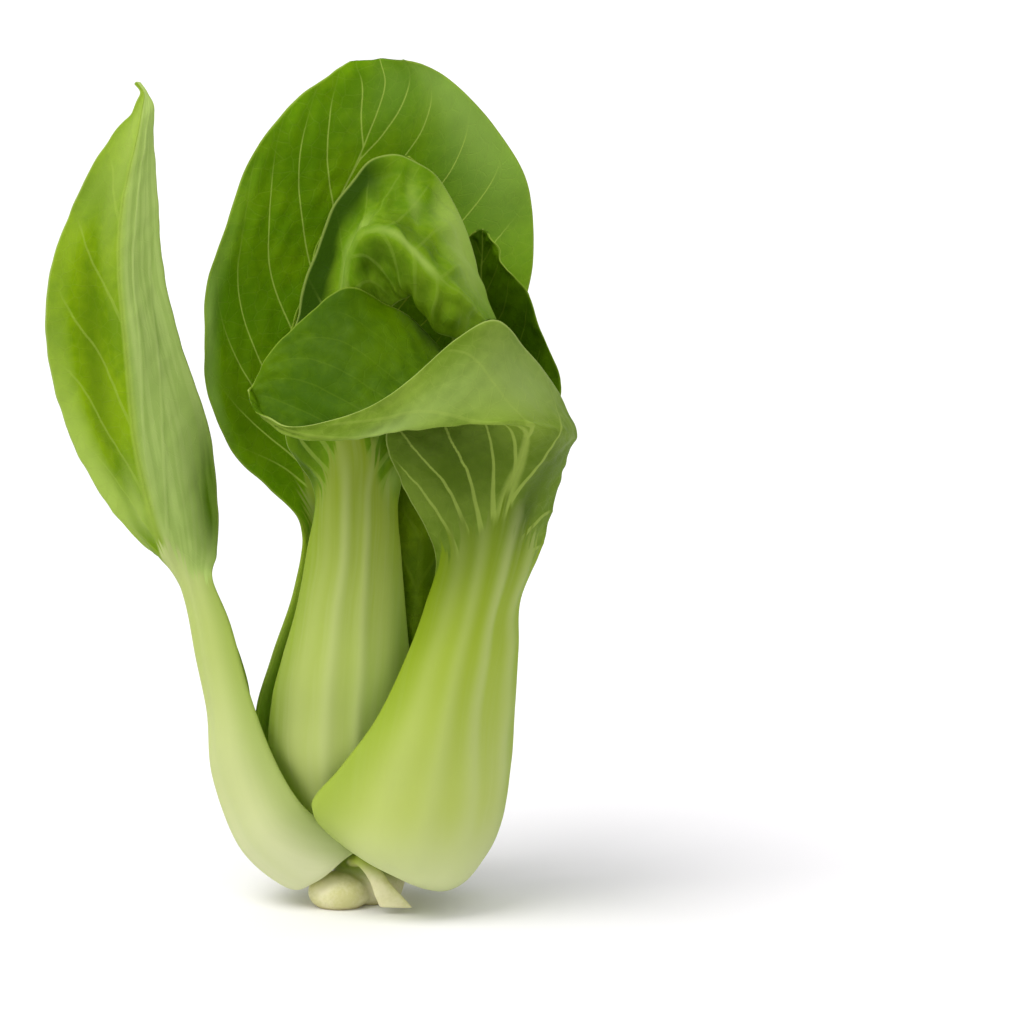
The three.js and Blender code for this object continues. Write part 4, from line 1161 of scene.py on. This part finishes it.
def stub_tube(rows, sides, rings):
    """A flat tube along rows of two edge points and a thickness, closed at both ends."""
    deselect()
    bpy.ops.mesh.primitive_cylinder_add(vertices=sides, radius=1, depth=2, end_fill_type="TRIFAN")
    tube = bpy.context.active_object
    bpy.ops.object.mode_set(mode="EDIT")
    for k in range(1, rings):
        bpy.ops.mesh.select_all(action="SELECT")
        height = 2 * k / rings - 1
        bpy.ops.mesh.bisect(plane_co=(0, 0, height), plane_no=(0, 0, 1), threshold=1e-5)
    bpy.ops.object.mode_set(mode="OBJECT")
    last = len(rows) - 1
    flat = np.array([v.co[:] for v in tube.data.vertices])
    t = (flat[:, 2] + 1) / 2 * last
    lefts, rights, thicks = (np.array(column, float) for column in zip(*rows))
    left, right = along(lefts, t), along(rights, t)
    middles = (lefts + rights) / 2
    run = along(middles, np.minimum(t + 0.1, last)) - along(middles, np.maximum(t - 0.1, 0))
    front = np.cross(run, right - left)
    front /= np.linalg.norm(front, axis=1, keepdims=True)
    half_thick = np.interp(t, range(last + 1), thicks)[:, None] / 2
    place = (left + right) / 2 + (right - left) / 2 * flat[:, :1] + front * half_thick * flat[:, 1:2]
    tube.data.vertices.foreach_set("co", (place * MM).astype(np.float32).ravel())
    turn_faces_out()
    return tube


def butt_core():
    """The round core of the stem, turned up from its cut face ring by ring."""
    deselect()
    cx, cy = (c * MM for c in BUTT["centre"])
    radius, height = BUTT["profile"][0]
    bpy.ops.mesh.primitive_circle_add(
        vertices=BUTT["sides"], radius=radius * MM, fill_type="TRIFAN", location=(cx, cy, height * MM)
    )
    core = bpy.context.active_object
    bpy.ops.object.transform_apply(location=True, rotation=True, scale=True)
    edit_all()
    for (r0, z0), (r1, z1) in zip(BUTT["profile"], BUTT["profile"][1:]):
        bpy.ops.mesh.extrude_region_move(TRANSFORM_OT_translate={"value": (0, 0, (z1 - z0) * MM)})
        bpy.ops.transform.resize(value=(r1 / r0, r1 / r0, 1), center_override=(cx, cy, z1 * MM))
    turn_faces_out()
    return core


def butt_lobe():
    """The rounded knob at the front of the stem."""
    deselect()
    centre, radii = BUTT["lobe"]
    bpy.ops.mesh.primitive_uv_sphere_add(segments=BUTT["sides"], ring_count=BUTT["sides"] // 2, radius=1)
    lobe = bpy.context.active_object
    edit_all()
    bpy.ops.transform.resize(value=[r * MM for r in radii])
    bpy.ops.transform.translate(value=[c * MM for c in centre])
    bpy.ops.object.mode_set(mode="OBJECT")
    return lobe


def grow_butt():
    """The core, the knob and the old leaf's stub, grown together and cut off flat."""
    core = butt_core()
    parts = (core, butt_lobe(), stub_tube(BUTT["stub"], BUTT["stub_sides"], BUTT["stub_rings"]))
    deselect()
    for part in parts:
        part.select_set(True)
    bpy.context.view_layer.objects.active = core
    bpy.ops.object.join()
    fuse = core.modifiers.new("fuse", "REMESH")
    fuse.mode = "VOXEL"
    fuse.voxel_size = BUTT["voxel"] * MM
    bpy.ops.object.modifier_apply(modifier=fuse.name)
    soften = core.modifiers.new("soften", "SMOOTH")
    soften.factor = 0.5
    soften.iterations = 6
    bpy.ops.object.modifier_apply(modifier=soften.name)

    edit_all()
    bpy.ops.mesh.bisect(
        plane_co=(0, 0, 0), plane_no=(0, 0, 1), clear_inner=True, use_fill=True, threshold=1e-6
    )
    turn_faces_out()
    bpy.ops.object.shade_smooth_by_angle(angle=math.radians(50))
    core.data.materials.clear()
    core.data.materials.append(butt_skin())
    core.name = "stem_butt_grown"
    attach(core, "root")
    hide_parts("stem_butt")
    return core


grow_butt()
for leaf_name in LEAVES:
    grow_leaf(leaf_name, *(LARGE_CELLS if leaf_name in LARGE_LEAVES else INNER_CELLS))


# ---------------------------------------------------------------- studio
def studio_floor():
    """A wide pale floor that runs past the top of the picture."""
    deselect()
    bpy.ops.mesh.primitive_plane_add(size=60)
    floor = bpy.context.active_object
    floor.name = "studio_floor"
    material = bpy.data.materials.new("pale_floor")
    material.use_nodes = True
    shader = material.node_tree.nodes["Principled BSDF"]
    shader.inputs["Base Color"].default_value = (0.9, 0.89, 0.915, 1)
    shader.inputs["Roughness"].default_value = 0.9
    shader.inputs["Specular IOR Level"].default_value = 0.1
    floor.data.materials.append(material)


def studio_light():
    """A soft lamp high on the left and an even white surround."""
    world = bpy.data.worlds.new("surround")
    bpy.context.scene.world = world
    world.use_nodes = True
    background = world.node_tree.nodes["Background"]
    background.inputs["Color"].default_value = (0.99, 0.99, 1, 1)
    background.inputs["Strength"].default_value = 0.78
    sun = bpy.data.lights.new("key", "SUN")
    sun.energy = 2.0
    sun.angle = math.radians(38)
    sun.color = (1, 0.985, 0.955)
    key = bpy.data.objects.new("key", sun)
    key.rotation_euler = Vector((0.5, 0.42, -1)).to_track_quat("-Z", "Y").to_euler()
    bpy.context.collection.objects.link(key)


def picture_camera():
    """The camera, set back along its own line of sight from the middle of the picture."""
    right = Vector((1, 0, 0))
    up = Vector((0, math.sin(CAMERA_TILT), math.cos(CAMERA_TILT)))
    ahead = Vector((0, math.cos(CAMERA_TILT), -math.sin(CAMERA_TILT)))
    target = right * PICTURE_MIDDLE[0] + up * PICTURE_MIDDLE[1]
    lens = bpy.data.cameras.new("picture")
    lens.lens = CAMERA_LENS
    lens.sensor_width = CAMERA_SENSOR
    lens.clip_start = 0.01
    lens.clip_end = 100
    camera = bpy.data.objects.new("picture", lens)
    camera.location = (target - ahead * CAMERA_DISTANCE) * MM
    camera.rotation_euler = (math.pi / 2 - CAMERA_TILT, 0, 0)
    bpy.context.collection.objects.link(camera)
    bpy.context.scene.camera = camera


studio_floor()
studio_light()
picture_camera()
bpy.context.scene.view_settings.view_transform = "Standard"
